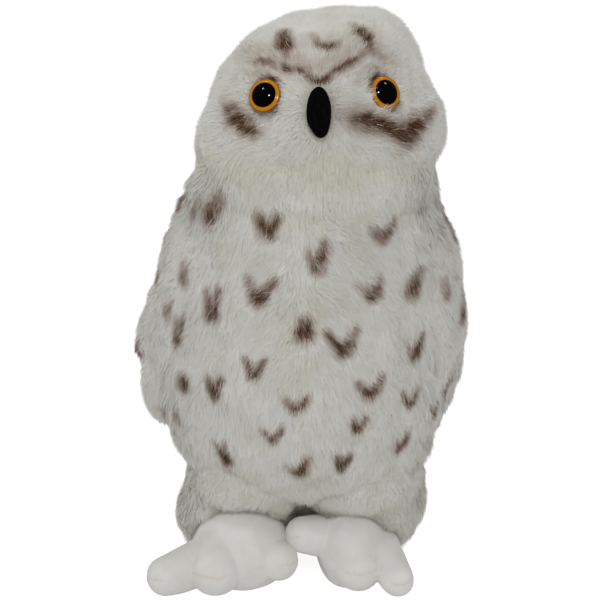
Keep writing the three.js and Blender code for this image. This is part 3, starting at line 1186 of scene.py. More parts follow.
    def creamed_and_shaded(self, points: np.ndarray) -> np.ndarray:
        """How much cream is painted on the pile: painted shade in the seams and creases and low on the legs,
        random creamy clouds, and less at the sides.

        Args:
            points: the shell's vertices.

        Returns:
            One share for each point.
        """
        gaps = self.seams(points)
        cream_and_shade = 0.8 * hump(gaps["chin"], 7 * MM) + 0.5 * hump(gaps["collar"], 5 * MM)
        cream_and_shade += 0.4 * hump(gaps["belly"], 6 * MM) + 0.5 * hump(off_path(points, HIPS), 8 * MM)
        cream_and_shade += 0.5 * smoothstep(60 * MM, 35 * MM, points[:, 2])
        cream_and_shade += 0.25 * ripple(points, 34 * MM, 17) + 0.25 * ripple(points, 12 * MM, 18)
        aside = smoothstep(36 * MM, 66 * MM, np.abs(points[:, 0] - MIDDLE))
        return np.clip(cream_and_shade + 0.1, 0, 1) * (1.0 - 0.8 * aside)

    def nearest_parts(self, points: np.ndarray) -> tuple[np.ndarray, np.ndarray, np.ndarray]:
        """Finds which solids each point lies by.

        Args:
            points: places on the shell.

        Returns:
            The nearest solid and the next one, as places in the list of solids, and how much farther
            the next is.
        """
        gaps = []
        for name in self.nodes:
            shape = cad_copy(bpy.data.objects[name])
            tree = BVHTree.FromBMesh(shape)
            shape.free()
            gaps.append([tree.find_nearest(Vector(point))[3] for point in points])
        gaps = np.array(gaps)
        order = np.argsort(gaps, axis=0)
        near, far = (np.take_along_axis(gaps, order[k][None], 0)[0] for k in (0, 1))
        return order[0], order[1], far - near

    def trimmed(self, points: np.ndarray, value: np.ndarray, by_eye: float, by_beak: float) -> np.ndarray:
        """Shortens a length round the eyes and the beak.

        Args:
            points: where the lengths stand.
            value: the lengths.
            by_eye: the length at an eye's rim.
            by_beak: the length beside the beak.

        Returns:
            The shortened lengths.
        """
        at_eyes, at_beak = self.clearances(points)
        value = by_beak + (value - by_beak) * smoothstep(0.0, 16 * MM, at_beak)
        return by_eye + (value - by_eye) * smoothstep(0.0, 15 * MM, at_eyes)

    def clearances(self, points: np.ndarray) -> tuple[np.ndarray, np.ndarray]:
        """How far each point is from the nearer eye's rim and from the beak."""
        low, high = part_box("beak")
        beak = np.array((low + high) / 2)
        stretch = np.array((high - low) / 2)
        at_beak = (np.linalg.norm((points - beak) / stretch, axis=1) - 1.0) * float(stretch[0])
        at_eyes = [eye.gap(points) - eye.radius for eye in self.eyes]
        return np.minimum(*at_eyes), at_beak

    @staticmethod
    def tree(mesh: bpy.types.Mesh, points: np.ndarray) -> BVHTree:
        """Makes a mesh's faces ready for rays, with its vertices at the given points."""
        return BVHTree.FromPolygons(
            [tuple(point) for point in points], [tuple(face.vertices) for face in mesh.polygons]
        )

    def room(self, mesh: bpy.types.Mesh, points: np.ndarray) -> np.ndarray:
        """Measures how thick the toy is behind each point, so that thin wings aren't turned inside out."""
        tree = self.tree(mesh, points)
        inward = -normals(mesh)
        thick = np.full(len(points), 0.2)
        for i, (point, way) in enumerate(zip(points, inward)):
            gap = tree.ray_cast(Vector(point + way * 0.3 * MM), Vector(way))[3]
            if gap:
                thick[i] = gap
        return relaxed(thick, edges(mesh), 4)

    def seams(self, points: np.ndarray) -> dict[str, np.ndarray]:
        """How far each point lies from each seam, in metres, signed where the two sides differ."""
        head, neck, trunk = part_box("head"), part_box("neck"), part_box("trunk")
        slope = (neck[1].z - head[0].z) / (neck[1].y - neck[0].y)
        chin = points[:, 2] - (head[0].z + slope * (neck[1].y - points[:, 1]))
        collar = points[:, 2] - neck[0].z
        share = (points[:, 2] - trunk[0].z) / (trunk[1].z - trunk[0].z)
        middle = (trunk[0].x + trunk[1].x) / 2
        wander = 4.5 * share - 1.0 - 3.0 * share * np.sin(share * math.pi)
        belly = points[:, 0] - (middle + wander * MM)
        return {
            "chin": chin,
            "collar": collar,
            "belly": belly,
            "side_right": points[:, 0] - (middle - 43 * MM),
            "side_left": points[:, 0] - (middle + 45 * MM),
        }

    def creases(self, points: np.ndarray) -> np.ndarray:
        """How far each point is pulled in by a seam, by the eyes' sockets or by a soft dent.

        Args:
            points: the shell's vertices.

        Returns:
            One depth for each point.
        """
        gaps = self.seams(points)
        front = smoothstep(10 * MM, -30 * MM, points[:, 1])
        trunk = self.nodes.index("trunk")
        on_trunk = (self.part == trunk) & (points[:, 2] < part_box("trunk")[1].z + 4 * MM)
        dent = 1.4 * MM * on_trunk * front * hump(gaps["belly"], 4.5 * MM)
        for side in ("side_right", "side_left"):
            dent += 0.9 * MM * front * on_trunk * hump(gaps[side], 3.5 * MM)
        for one, two, deep, wide in SEWN:
            pair = {self.nodes.index(one), self.nodes.index(two)}
            joined = np.isin(self.part, list(pair)) & np.isin(self.other, list(pair))
            dent += deep * MM * joined * hump(self.margin, wide * MM)
        ahead = smoothstep(15 * MM, -10 * MM, points[:, 1])
        middle = 0.5 + 0.5 * hump(points[:, 0] - MIDDLE, 24 * MM)
        dent += 4.2 * MM * middle * ahead * hump(off_path(points, HIPS), 5.2 * MM)
        dent += 4.0 * MM * ahead * hump(off_path(points, CROTCH), 5.5 * MM)
        dent += 1.2 * MM * ahead * hump(off_path(points, THIGH_FOLD), 5 * MM)
        for eye in self.eyes:
            dent += 0.6 * MM * smoothstep(1.7 * eye.radius, 0.9 * eye.radius, eye.gap(points))
        for deep, wavelength, seed in LUMPS:
            dent = dent + deep * MM * ripple(points, wavelength * MM, seed)
        return dent

    def combed(self, links: np.ndarray) -> np.ndarray:
        """Works out which way the pile lies at each vertex.

        Args:
            links: the shell's edges.

        Returns:
            One unit direction along the surface for each vertex.
        """
        points, normal = self.points, self.normal
        names = np.array(self.nodes)[self.part].astype(str)
        lie = np.tile((0.0, 0.0, -1.0), (len(points), 1))
        front = smoothstep(5 * MM, -25 * MM, points[:, 1])
        belly = self.seams(points)["belly"]
        chest = smoothstep(105 * MM, 150 * MM, points[:, 2])
        part_to_left = (0.25 + 0.55 * chest) * hump(belly, 38 * MM) * (belly > 0)
        part_to_right = -0.2 * hump(belly, 40 * MM) * (belly <= 0)
        lie[:, 0] += front * (part_to_left + part_to_right) * (names == "trunk")
        lie[:, 1] += np.where(np.char.startswith(names, "wing"), 0.35, 0.0)
        lie[:, 1] += np.where(names == "tail", 0.3, 0.0)
        on_leg = np.char.startswith(names, "leg") * front
        lie[:, 0] += on_leg * 8.0 * points[:, 0]
        lie[:, 1] -= on_leg * 0.6
        low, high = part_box("beak")
        beak = np.array(((low.x + high.x) / 2, high.y, low.z + 0.62 * (high.z - low.z)))
        away = points - beak
        far = np.linalg.norm(away, axis=1)
        head = (names == "head") * 1.0
        radial = unit(away)
        fade = smoothstep(105 * MM, 60 * MM, far) * head
        backwards = smoothstep(-10 * MM, 20 * MM, points[:, 1])[:, None] * (0.0, 0.6, -0.6)
        lie = radial * fade[:, None] + (lie + backwards * head[:, None]) * (1.0 - fade[:, None])
        lie = along_surface(relaxed(along_surface(lie, normal), links, 20), normal)
        for eye in self.eyes:
            pull = smoothstep(2.2 * eye.radius, 1.1 * eye.radius, eye.gap(points))
            lapped = smoothstep(0.2, 0.8, eye.lapping(points))
            lie += (2.0 * pull * (1.0 - 2.2 * lapped))[:, None] * unit(points - np.array(eye.centre))
        lie = along_surface(relaxed(along_surface(lie, normal), links, 2), normal)
        swirl = 0.22 * ripple(points, 60 * MM, 3) + 0.14 * ripple(points, 22 * MM, 4)
        swirl *= 0.3 + 0.7 * smoothstep(0.2, 0.8, -normal[:, 1])
        across = np.cross(normal, lie)
        return along_surface(lie + across * swirl[:, None], normal)


@dataclass(frozen=True)
class Bend:
    """How steeply one stretch of each tuft stands off the shell, in degrees.

    Args:
        plain: its angle out in the open.
        stand: how much steeper it is where the pile stands up, beside an eye or the beak.
        lap: how much steeper it is where the pile laps over an eye.
        wander: how much it differs from tuft to tuft.
    """

    plain: float
    stand: float
    lap: float
    wander: float

    def angles(self, roots: Rows, rng: np.random.Generator, spread: float) -> np.ndarray:
        """Works out the tufts' angles.

        Args:
            roots: the tufts' roots.
            rng: where their differences come from.
            spread: how much they differ.

        Returns:
            One row of one angle for each tuft, in radians.
        """
        steady = self.plain + self.stand * roots["stand"] + self.lap * roots["lap"]
        return np.radians(steady + spread * rng.normal(0.0, self.wander, len(steady)))[:, None]


RISE = Bend(50.0, 28.0, 24.0, 9.0)
BOW = Bend(18.0, 38.0, -12.0, 8.0)


@dataclass
class Coat:
    """The pile: thin tapering tufts rooted all over the shell, gathered into soft locks.

    Args:
        shell: what it grows on.
        spray: what it is dyed with.
        tufts: how many tufts there are.
        locks: how many locks they gather into.
        width: how wide a tuft is at its middle.
        most: the most triangles in a piece.
        patch: the side of a tuft's patch on the unwrap.
        slip: how far tufts have slid along themselves since they were sprayed.
        missed: the share of tufts that took little dye.
        uneven: how much the dye differs on the others.
        seed: which random numbers.
    """

    shell: Shell
    spray: Spray
    tufts: int = 640_000
    locks: int = 20_000
    width: float = 0.27 * MM
    most: int = 190_000
    patch: float = 0.003
    slip: float = 1.1 * MM
    missed: float = 0.025
    uneven: float = 0.12
    seed: int = 7

    def build(self) -> list[bpy.types.Object]:
        """Grows the pile and cuts it into pieces by the parts that it covers.

        Returns:
            The coat's pieces.
        """
        rng = np.random.default_rng(self.seed)
        charts = self.charts()
        roots = self.rooted(rng, self.tufts, charts)
        locks = self.rooted(rng, self.locks, charts)
        lock_shape = self.bent(locks, rng, 0.9)
        tree = KDTree(len(locks["point"]))
        for i, point in enumerate(locks["point"]):
            tree.insert(Vector(point), i)
        tree.balance()
        own = np.array([tree.find(Vector(point))[1] for point in roots["point"]])
        shape = self.bent(roots, rng, 1.0)
        pull = rng.uniform(0.0, 0.3, len(locks["point"]))[own] * rng.uniform(0.4, 1.2, len(own))
        pull *= 0.2 + 0.8 * smoothstep(0.2, 0.8, -roots["normal"][:, 1])
        shape["middle"] += 0.4 * pull[:, None] * (lock_shape["middle"][own] - shape["middle"])
        shape["tip"] += pull[:, None] * (lock_shape["tip"][own] - shape["tip"])
        tone = 0.4 + 0.1 * rng.normal(size=len(own)) + 0.15 * rng.normal(size=len(locks["point"]))[own]
        tone += 0.35 * ripple(roots["point"], 6 * MM, 16)
        roots["tone"] = np.clip(tone, 0.0, 1.0)
        return self.cut(roots, shape, rng)

    def charts(self) -> np.ndarray:
        """Unwraps the shell and reads where each face's corners land.

        Returns:
            Three corners of u, v for each of the shell's triangles.
        """
        piece = self.shell.piece
        mesh = piece.data
        mesh.uv_layers.new(name="charts")
        bpy.context.view_layer.objects.active = piece
        piece.select_set(True)
        bpy.ops.object.mode_set(mode="EDIT")
        bpy.ops.mesh.select_all(action="SELECT")
        bpy.ops.uv.smart_project(angle_limit=math.radians(66), island_margin=0.004)
        bpy.ops.object.mode_set(mode="OBJECT")
        flat = np.empty(len(mesh.loops) * 2, np.float32)
        mesh.uv_layers["charts"].uv.foreach_get("vector", flat)
        mesh.calc_loop_triangles()
        corners = np.empty(len(mesh.loop_triangles) * 3, np.int32)
        mesh.loop_triangles.foreach_get("loops", corners)
        charts = flat.reshape(-1, 2)[corners].reshape(-1, 3, 2)
        mesh.uv_layers.remove(mesh.uv_layers["charts"])
        return charts

    def rooted(self, rng: np.random.Generator, count: int, charts: np.ndarray) -> Rows:
        """Spreads roots evenly over the shell, closer where the pile is crowded.

        Args:
            rng: where the scatter comes from.
            count: how many roots.
            charts: the shell's unwrap.

        Returns:
            Each root's point, normal, lie, length, painted cream and shade, uprightness, lap, chart place
            and part.
        """
        shell, mesh = self.shell, self.shell.piece.data
        mesh.calc_loop_triangles()
        flat = np.empty(len(mesh.loop_triangles) * 3, np.int32)
        mesh.loop_triangles.foreach_get("vertices", flat)
        faces = flat.reshape(-1, 3)
        corners = shell.points[faces]
        area = np.linalg.norm(np.cross(corners[:, 1] - corners[:, 0], corners[:, 2] - corners[:, 0]), axis=1)
        weight = area * shell.crowding[faces].mean(1) * self.open(corners.mean(1))
        reach = np.cumsum(weight)
        marks = (np.arange(count) + rng.uniform(0.0, 1.0, count)) * (reach[-1] / count)
        chosen = np.minimum(np.searchsorted(reach, marks), len(faces) - 1)
        one, two = np.sqrt(rng.uniform(size=count)), rng.uniform(size=count)
        shares = np.stack([1 - one, one * (1 - two), one * two], 1)[:, :, None]
        picked = faces[chosen]
        return {
            "point": (shell.points[picked] * shares).sum(1),
            "normal": unit((shell.normal[picked] * shares).sum(1)),
            "lie": unit((shell.lie[picked] * shares).sum(1)),
            "length": (shell.length[picked] * shares[:, :, 0]).sum(1),
            "cream_and_shade": (shell.cream_and_shade[picked] * shares[:, :, 0]).sum(1),
            "stand": (shell.stand[picked] * shares[:, :, 0]).sum(1),
            "lap": (shell.lap[picked] * shares[:, :, 0]).sum(1),
            "chart": (charts[chosen] * shares).sum(1),
            "part": shell.part[picked[:, 0]],
        }

    def open(self, points: np.ndarray) -> np.ndarray:
        """Says where pile can grow: 0 under an eye or the beak, 1 elsewhere."""
        grows = np.ones(len(points))
        for eye in self.shell.eyes:
            grows *= eye.gap(points) > 0.9 * eye.radius
        low, high = box_of("beak")
        inside = ((points - (low + high) / 2) / ((high - low) / 2 * 0.85)) ** 2
        return grows * (inside.sum(1) > 1.0)

    def bent(self, roots: Rows, rng: np.random.Generator, spread: float) -> Rows:
        """Bends each tuft out of the shell and over along the lie.

        Args:
            roots: the tufts' roots.
            rng: where their differences come from.
            spread: how much they differ.

        Returns:
            Each tuft's middle, tip, side, heading, roll and width.
        """
        count = len(roots["point"])
        normal = roots["normal"]
        turn = spread * rng.normal(0.0, 0.36 + 0.5 * roots["stand"], count)
        across = np.cross(normal, roots["lie"])
        lie = unit(roots["lie"] * np.cos(turn)[:, None] + across * np.sin(turn)[:, None])
        length = roots["length"] * np.clip(1.0 + spread * rng.normal(0.0, 0.10, count), 0.6, 1.3)
        rise = RISE.angles(roots, rng, spread)
        bow = BOW.angles(roots, rng, spread)
        first = normal * np.sin(rise) + lie * np.cos(rise)
        second = normal * np.sin(bow) + lie * np.cos(bow)
        middle = roots["point"] + first * (0.42 * length)[:, None]
        return {
            "middle": middle,
            "tip": middle + second * (0.58 * length)[:, None],
            "side": np.cross(lie, normal),
            "heading": unit(first + second),
            "roll": spread * rng.normal(0.0, 0.45, count),
            "width": self.width * np.clip(0.55 + 0.45 * length / (9 * MM), 0.6, 1.15),
        }

    def cut(self, roots: Rows, shape: Rows, rng: np.random.Generator) -> list[bpy.types.Object]:
        """Makes the coat's pieces, each small enough to handle: each part's white pile and its sprayed pile.

        Args:
            roots: all the roots.
            shape: all the tufts' bends.
            rng: where the small differences in the dye come from.

        Returns:
            The pieces.
        """
        material = PlushFinish().material()
        count = len(roots["point"])
        roots["slip"] = rng.normal(0.0, self.slip, (count, 1)) * unit(shape["tip"] - shape["middle"])
        missed = rng.uniform(size=count) < self.missed
        roots["taken"] = np.where(missed, 0.3, np.clip(rng.normal(1.0, self.uneven, count), 0.6, 1.3))
        sprayed = (self.spray.amount(shape["tip"]) > 0.03) | (self.spray.amount(shape["middle"]) > 0.03)
        around = np.arctan2(roots["point"][:, 0], -roots["point"][:, 1])
        pieces = []
        for index, name in enumerate(self.shell.nodes):
            for label, joints, wanted in (("pile", 1, ~sprayed), ("sprayed_pile", 2, sprayed)):
                mine = np.flatnonzero((roots["part"] == index) & wanted)
                if not len(mine):
                    continue
                mine = mine[np.argsort(around[mine], kind="stable")]
                shares = np.array_split(mine, math.ceil(len(mine) * 2 * joints / self.most))
                for number, share in enumerate(shares, 1):
                    piece = self.piece(f"{label}_{name}_{number}", share, joints, roots, shape)
                    piece.data.materials.append(material)
                    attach(piece, BODY)
                    pieces.append(piece)
        return pieces

    def piece(self, name: str, share: np.ndarray, joints: int, roots: Rows, shape: Rows) -> bpy.types.Object:
        """Joins some tufts into one mesh.

        Args:
            name: the piece's name.
            share: which tufts.
            joints: how many cross edges each has between its root and its tip.
            roots: all the roots.
            shape: all the tufts' bends.

        Returns:
            The coat's piece.
        """
        count = len(share)
        normal, heading = roots["normal"][share], shape["heading"][share]
        root, middle, tip = roots["point"][share], shape["middle"][share], shape["tip"][share]
        roll = shape["roll"][share][:, None]
        side = shape["side"][share]
        side = unit(side * np.cos(roll) + np.cross(heading, side) * np.sin(roll))
        half = side * shape["width"][share][:, None] / 2
        spine = [middle] if joints == 1 else [middle, middle + 0.5 * (tip - middle)]
        pairs = [point + sign * half * full for point, full in zip(spine, (1.0, 0.8)) for sign in (-1, 1)]
        verts, faces = 2 * joints + 2, 2 * joints
        corners = [0, 2, 1]
        for first in range(1, 2 * joints - 1, 2):
            corners += [first, first + 1, first + 3, first, first + 3, first + 2]
        corners = np.array([*corners, verts - 3, verts - 2, verts - 1])
        mesh = bpy.data.meshes.new(name)
        mesh.vertices.add(count * verts)
        buried = root - normal * 0.3 * MM
        mesh.vertices.foreach_set("co", np.stack([buried, *pairs, tip], 1).astype(np.float32).ravel())
        mesh.loops.add(count * faces * 3)
        ends = np.arange(count)[:, None] * verts + corners
        mesh.loops.foreach_set("vertex_index", ends.astype(np.int32).ravel())
        mesh.polygons.add(count * faces)
        mesh.polygons.foreach_set("loop_start", np.arange(count * faces, dtype=np.int32) * 3)
        mesh.polygons.foreach_set("use_smooth", np.ones(count * faces, bool))
        mesh.update(calc_edges=True)
        rises = (0.0, 0.5, 0.5, 1.0) if joints == 1 else (0.0, 0.5, 0.5, 0.75, 0.75, 1.0)
        for label, values in (
            ("fleck", self.dyed([*spine, tip], roots["slip"][share], roots["taken"][share])),
            ("rise", np.tile(rises, count)),
            ("tone", np.repeat(roots["tone"][share], verts)),
            ("cream_and_shade", np.repeat(roots["cream_and_shade"][share], verts)),
        ):
            store(mesh, label, values)
        soft = unit(0.9 * normal + 0.1 * np.cross(side, heading))
        mesh.normals_split_custom_set_from_vertices(np.repeat(soft, verts, axis=0))
        self.patches(mesh, roots["chart"][share], corners, verts)
        return new_object(name, mesh)

    def dyed(self, spine: list[np.ndarray], slip: np.ndarray, taken: np.ndarray) -> np.ndarray:
        """How brown each of the tufts' vertices is.

        Args:
            spine: the tufts' places from the first joint to the tip.
            slip: how far each tuft has slid since it was sprayed.
            taken: how well each tuft took the dye.

        Returns:
            One amount for each vertex; the roots are paler.
        """
        amounts = [np.clip(self.spray.amount(place + slip) * taken, 0, 1) for place in spine]
        columns = [0.3 * amounts[0]]
        for amount in amounts[:-1]:
            columns += [amount] * 2
        return np.stack([*columns, amounts[-1]], 1).ravel()

    def patches(self, mesh: bpy.types.Mesh, chart: np.ndarray, corners: np.ndarray, verts: int) -> None:
        """Lays each tuft on a small patch at its root's place on the shell's unwrap."""
        half = self.patch / 2
        rows = np.linspace(-half, half, verts // 2 + 1)
        sides = [(side * half, row) for row in rows[1:-1] for side in (-1, 1)]
        spots = np.array([(0.0, -half), *sides, (0.0, half)])
        places = (chart[:, None, :] + spots)[:, corners]
        mesh.uv_layers.new(name="OFBake").uv.foreach_set("vector", places.astype(np.float32).ravel())


# ---------------------------------------------------------------- the feet


Share = tuple[float, float, float]


@dataclass(frozen=True)
class Toe:
    """A tapering toe, from its root to its tip, as shares of its foot's box across, forward and up.

    Args:
        root: where it springs from.
        tip: the middle of its round end.
        radius: how thick it is at the tip, in millimetres.
    """

    root: Share
    tip: Share
    radius: float


@dataclass
class Foot:
    """A stuffed foot in short white pile, with three pinched toes and a puckered seam over each toe's end.

    Args:
        side: which foot.
        pad: the middle of its pad, as shares of its box.
        half: the pad's half-sizes, in millimetres.
        toes: its toes, from the owl's right.
    """

    side: str
    pad: Share
    half: Share
    toes: tuple[Toe, ...]
    taper: float = 1.35
    voxel: float = 0.8 * MM
    rounds: int = 26

    def place(self, share: Share) -> np.ndarray:
        """Turns shares of the foot's box into a place, in metres."""
        low, high = box_of(f"foot_{self.side}")
        size = high - low
        across, forward, up = share
        return np.array((low[0] + across * size[0], high[1] - forward * size[1], low[2] + up * size[2]))

    def form(self) -> bpy.types.Mesh:
        """Makes the pad, the heel and the toes as one closed mesh."""
        whole = bmesh.new()
        whole.from_mesh(mesh_from(cad_copy(bpy.data.objects[f"foot_{self.side}"], -1.0 * MM), "foot_solid"))
        self.ball(whole, self.place(self.pad), np.array(self.half) * MM)
        for toe in self.toes:
            ends = ((toe.root, self.taper * toe.radius), (toe.tip, toe.radius))
            balls = [self.ball(whole, self.place(at), np.full(3, radius * MM)) for at, radius in ends]
            hull = bmesh.ops.convex_hull(whole, input=[*balls[0], *balls[1]], use_existing_faces=False)
            spare = [item for item in hull["geom_interior"] if isinstance(item, bmesh.types.BMVert)]
            bmesh.ops.delete(whole, geom=spare, context="VERTS")
        return mesh_from(whole, "foot_form")

    @staticmethod
    def ball(shape: bmesh.types.BMesh, middle: np.ndarray, half: np.ndarray) -> list[bmesh.types.BMVert]:
        """Adds an ellipsoid to a shape and returns its vertices."""
        verts = bmesh.ops.create_uvsphere(shape, u_segments=40, v_segments=24, radius=1.0)["verts"]
        bmesh.ops.scale(shape, verts=verts, vec=Vector(half))
        bmesh.ops.translate(shape, verts=verts, vec=Vector(middle))
        return verts

    def grooves(self, places: np.ndarray) -> np.ndarray:
        """How deep each place lies in a groove between two toes, or beside one, from 0 to 1."""
        half = np.array(self.half) * MM
        gaps = [(np.linalg.norm((places - self.place(self.pad)) / half, axis=1) - 1.0) * float(half.min())]
        for toe in self.toes:
            root, tip = self.place(toe.root), self.place(toe.tip)
            run = tip - root
            share = np.clip((places - root) @ run / (run @ run), 0.0, 1.0)
            wide = toe.radius * MM * (self.taper + (1.0 - self.taper) * share)
            gaps.append(np.linalg.norm(places - root - share[:, None] * run, axis=1) - wide)
        gaps = np.array(gaps)
        by_pad = np.argsort(gaps, axis=0)[:2].min(axis=0) == 0
        gaps = np.sort(gaps, axis=0)
        groove = hump(gaps[1] - gaps[0], 1.4 * MM) * smoothstep(4 * MM, 1 * MM, gaps[0])
        return groove * np.where(by_pad, 0.45, 1.0)

    def seams(self, places: np.ndarray) -> tuple[np.ndarray, np.ndarray]:
        """How deep each place lies in a slit sewn over a toe's end, and in the puckers round it, up to 1."""
        slits, puckers = np.zeros(len(places)), np.zeros(len(places))
        for toe in self.toes:
            tip, radius = self.place(toe.tip), toe.radius * MM
            heading = unit((tip - self.place(toe.root)) * (1.0, 1.0, 0.0))
            across = np.array((-heading[1], heading[0], 0.0))
            off = places - tip
            beside = off @ across
            above = off[:, 2] - 0.1 * radius - 0.1 * beside**2 / radius
            above += 0.5 * MM * ripple(places, 11 * MM, 6)
            front = smoothstep(0.25 * radius, 0.7 * radius, off @ heading)
            front *= smoothstep(0.95 * radius, 0.6 * radius, np.abs(beside))
            folds = 0.5 + 0.5 * np.sin(beside * (2 * math.pi / (2.1 * MM)) + 3.0 * ripple(places, 9 * MM, 5))
            slits = np.maximum(slits, hump(above, 0.45 * MM) * front)
            puckers = np.maximum(puckers, hump(above, 2.4 * MM) * front * folds)
        return slits, puckers

    def build(self) -> bpy.types.Object:
        """Rounds the foot's form, sews its toes and gives it its nap.

        Returns:
            The foot's piece.
        """
        name = f"stuffed_foot_{self.side}"
        mesh = remeshed(self.form(), self.voxel)
        mesh.name = name
        links = edges(mesh)
        places = coords(mesh)
        places[:, 2] = np.maximum(places[:, 2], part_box(f"foot_{self.side}")[0].z)
        places = relaxed(places, links, self.rounds)
        set_coords(mesh, places)
        groove = self.grooves(places)
        slit, pucker = self.seams(places)
        inward = 0.9 * groove + 0.5 * slit + 0.3 * pucker - 0.22 * ripple(places, 15 * MM, 9)
        places = places - normals(mesh) * (inward * MM)[:, None]
        places[:, 2] = np.maximum(places[:, 2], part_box(f"foot_{self.side}")[0].z)
        set_coords(mesh, relaxed(places, links, 2, 0.4))
        # The seam's beige line along each slit, and painted shade in the puckers round it and in the grooves
        # between the toes.
        seam_and_shade = np.clip(0.6 * slit + 0.25 * pucker + 0.1 * groove, 0.0, 1.0)
        store(mesh, "seam_and_shade", seam_and_shade)
        piece = new_object(name, mesh)
        mesh.materials.append(bpy.data.materials.get(NapFinish.name) or NapFinish().material())
        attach(piece, BODY)
        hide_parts(f"foot_{self.side}")
        return piece


RIGHT_TOES = (
    Toe((0.545, 0.616, 0.357), (0.132, 0.863, 0.233), 10.4),
    Toe((0.545, 0.619, 0.523), (0.455, 0.863, 0.295), 12.6),
    Toe((0.648, 0.616, 0.357), (0.862, 0.765, 0.352), 10.6),
)
LEFT_TOES = (
    Toe((0.443, 0.608, 0.538), (0.144, 0.711, 0.648), 9.6),
    Toe((0.518, 0.608, 0.520), (0.564, 0.826, 0.298), 12.0),
    Toe((0.715, 0.608, 0.440), (0.870, 0.906, 0.210), 8.6),
)


# ---------------------------------------------------------------- the studio


@dataclass(frozen=True)
class Lamp:
    """A square softbox that faces the toy.

    Args:
        name: its name.
        place: where it hangs.
        size: its side.
        power: its power, in watts.
        mirrored: whether it shows in the eyes.
    """

    name: str
    place: tuple[float, float, float]
    size: float
    power: float
    mirrored: bool = True


LAMPS = (
    Lamp("left", (-0.62, -0.2, 1.3), 0.17, 1.7),
    Lamp("right", (0.6, 0.12, 1.28), 0.17, 1.2),
    Lamp("front", (-0.02, -1.1, 0.86), 0.12, 4.2),
    Lamp("low_left", (-0.85, -0.4, 0.31), 0.6, 0.4, False),
    Lamp("low_right", (0.85, -0.4, 0.31), 0.6, 0.2, False),
)


@dataclass
class Studio:
    """A plain white floor, soft light, white all round for the lens, and a long lens.

    Args:
        aim: where the camera looks.
        heart: where the lamps point.
        distance: how far off the camera is.
        elevation: how far it looks down, in degrees.
        lens: its focal length, in millimetres.
        ambient: how bright the room is for the toy.
        mirrored: how bright it shows in the eyes.
        spread: half the floor's side.
        below: how far the floor lies under the toy.
    """

    aim: tuple[float, float, float] = (0.9 * MM, 0.0, 140.3 * MM)
    heart: tuple[float, float, float] = (0.0, 0.0, 0.15)
    distance: float = 1.0
    elevation: float = 15.0
    lens: float = 116.5
    ambient: float = 0.42
    mirrored: float = 0.04
    spread: float = 3.0
    below: float = 0.2 * MM

    def build(self) -> None:
        """Makes the floor, the lights and the camera."""
        self.floor()
        for lamp in LAMPS:
            self.hang(lamp)
        self.room()
        self.camera()

    def hang(self, lamp: Lamp) -> None:
        """Hangs a lamp."""
        light = bpy.data.lights.new(lamp.name, "AREA")
        light.shape = "SQUARE"
        light.size = lamp.size
        light.energy = lamp.power
        box = bpy.data.objects.new(lamp.name, light)
        box.location = lamp.place
        box.rotation_mode = "QUATERNION"
        box.rotation_quaternion = (Vector(self.heart) - Vector(lamp.place)).to_track_quat("-Z", "Y")
        box.visible_glossy = lamp.mirrored
        bpy.context.scene.collection.objects.link(box)

    def room(self) -> None:
        """Sets white all round: soft for the toy, nearly dark in its eyes and bright for the lens."""
        world = bpy.data.worlds.new("studio")
        world.use_nodes = True
        tree = world.node_tree
        sky = tree.nodes["Background"]
        sky.inputs["Color"].default_value = (1.0, 1.0, 1.0, 1.0)
        rays = tree.nodes.new("ShaderNodeLightPath")
        strength = None
        for ray, plain, met in (("Is Glossy Ray", self.ambient, self.mirrored), ("Is Camera Ray", 0.0, 1.0)):
            choice = tree.nodes.new("ShaderNodeMapRange")
            choice.inputs["To Min"].default_value = plain
            choice.inputs["To Max"].default_value = met
            tree.links.new(rays.outputs[ray], choice.inputs["Value"])
            if strength:
                tree.links.new(strength, choice.inputs["To Min"])
            strength = choice.outputs["Result"]
        tree.links.new(strength, sky.inputs["Strength"])
        bpy.context.scene.world = world
        bpy.context.scene.view_settings.view_transform = "Standard"

    def floor(self) -> None:
        """Lays a plain white floor that glows a little, so that it stays pale out to its edge."""
        shape = bmesh.new()
        bmesh.ops.create_grid(shape, x_segments=1, y_segments=1, size=self.spread)
        bmesh.ops.translate(shape, vec=(0.0, 0.0, -self.below), verts=shape.verts)
        piece = new_object("floor", mesh_from(shape, "floor", smooth=False))
        piece.data.materials.append(PaperFinish().material())
        piece.visible_glossy = False

    def camera(self) -> None:
        """Sets the camera ahead of the toy, looking a little down on it."""
        lens = bpy.data.cameras.new("camera")
        lens.lens = self.lens
        lens.sensor_width = 36.0
        camera = bpy.data.objects.new("camera", lens)
        turn = math.radians(self.elevation)
        back = Vector((0.0, -math.cos(turn), math.sin(turn)))
        camera.location = Vector(self.aim) + back * self.distance
        camera.rotation_mode = "QUATERNION"
        camera.rotation_quaternion = (-back).to_track_quat("-Z", "Y")
        bpy.context.scene.collection.objects.link(camera)
        bpy.context.scene.camera = camera


# ---------------------------------------------------------------- the toy


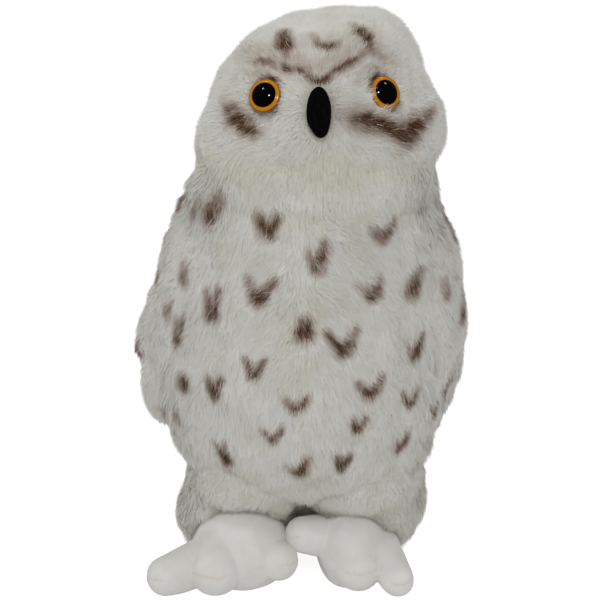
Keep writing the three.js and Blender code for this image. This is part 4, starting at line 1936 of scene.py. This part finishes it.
@dataclass
class Owl:
    """The whole toy."""

    eyes: tuple[Eye, ...] = field(init=False)
    seed: int = 21

    def build(self) -> None:
        """Makes every piece in order and reports each."""
        self.eyes = (Eye("right", (0.6, 0.0, 0.2)), Eye("left", (-0.75, 0.0, -0.66)))
        shell = Shell(self.eyes)
        self.report(shell.build())
        for eye in self.eyes:
            self.report(eye.build())
        self.report(Beak().build())
        self.report(Foot("right", (0.622, 0.549, 0.404), (26, 32, 26), RIGHT_TOES).build())
        self.report(Foot("left", (0.526, 0.551, 0.415), (19, 32, 25), LEFT_TOES).build())
        spray = self.sprayed(shell)
        store(shell.piece.data, "fleck", spray.amount(shell.points))
        tufts = Coat.tufts
        for piece in Coat(shell, spray, tufts=tufts).build():
            self.report(piece)

    def sprayed(self, shell: Shell) -> Spray:
        """Lays out all the flecks, lines and rings.

        Args:
            shell: the plush shell that they are sprayed on.

        Returns:
            The spray.
        """
        low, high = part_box("trunk")
        spray = Spray(shell.outside, (low + high) / 2)
        for mark in FRONT_FLECKS:
            spray.fleck(spray.ahead(mark.across, mark.height), mark)
        for line in FACE_LINES:
            spray.line(line)
        rim = 1.08 * self.eyes[0].radius
        for eye, lashes in zip(self.eyes, (RIGHT_LASHES, LEFT_LASHES)):
            spray.ring(eye, rim, lashes)
        rng = np.random.default_rng(self.seed)
        spray.scatter(rng, low.z + 22 * MM, high.z - 6 * MM)
        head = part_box("head")
        spray.crown(rng, head[0].z + 18 * MM, head[1].z - 14 * MM)
        return spray

    @staticmethod
    def report(piece: bpy.types.Object) -> None:
        """Logs a finished piece and its size."""
        mesh = piece.data
        mesh.calc_loop_triangles()
        LOG.info("%s: %d triangles", piece.name, len(mesh.loop_triangles))


def corners(box: tuple[Vector, Vector]) -> list[list[float]]:
    """A box as plain lists of numbers."""
    return [list(corner) for corner in box]


def main() -> None:
    """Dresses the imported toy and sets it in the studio."""
    logging.basicConfig(level=logging.INFO, format="%(name)s %(message)s", stream=sys.stdout)
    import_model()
    Owl().build()
    Studio().build()


if __name__ == "__main__":
    main()
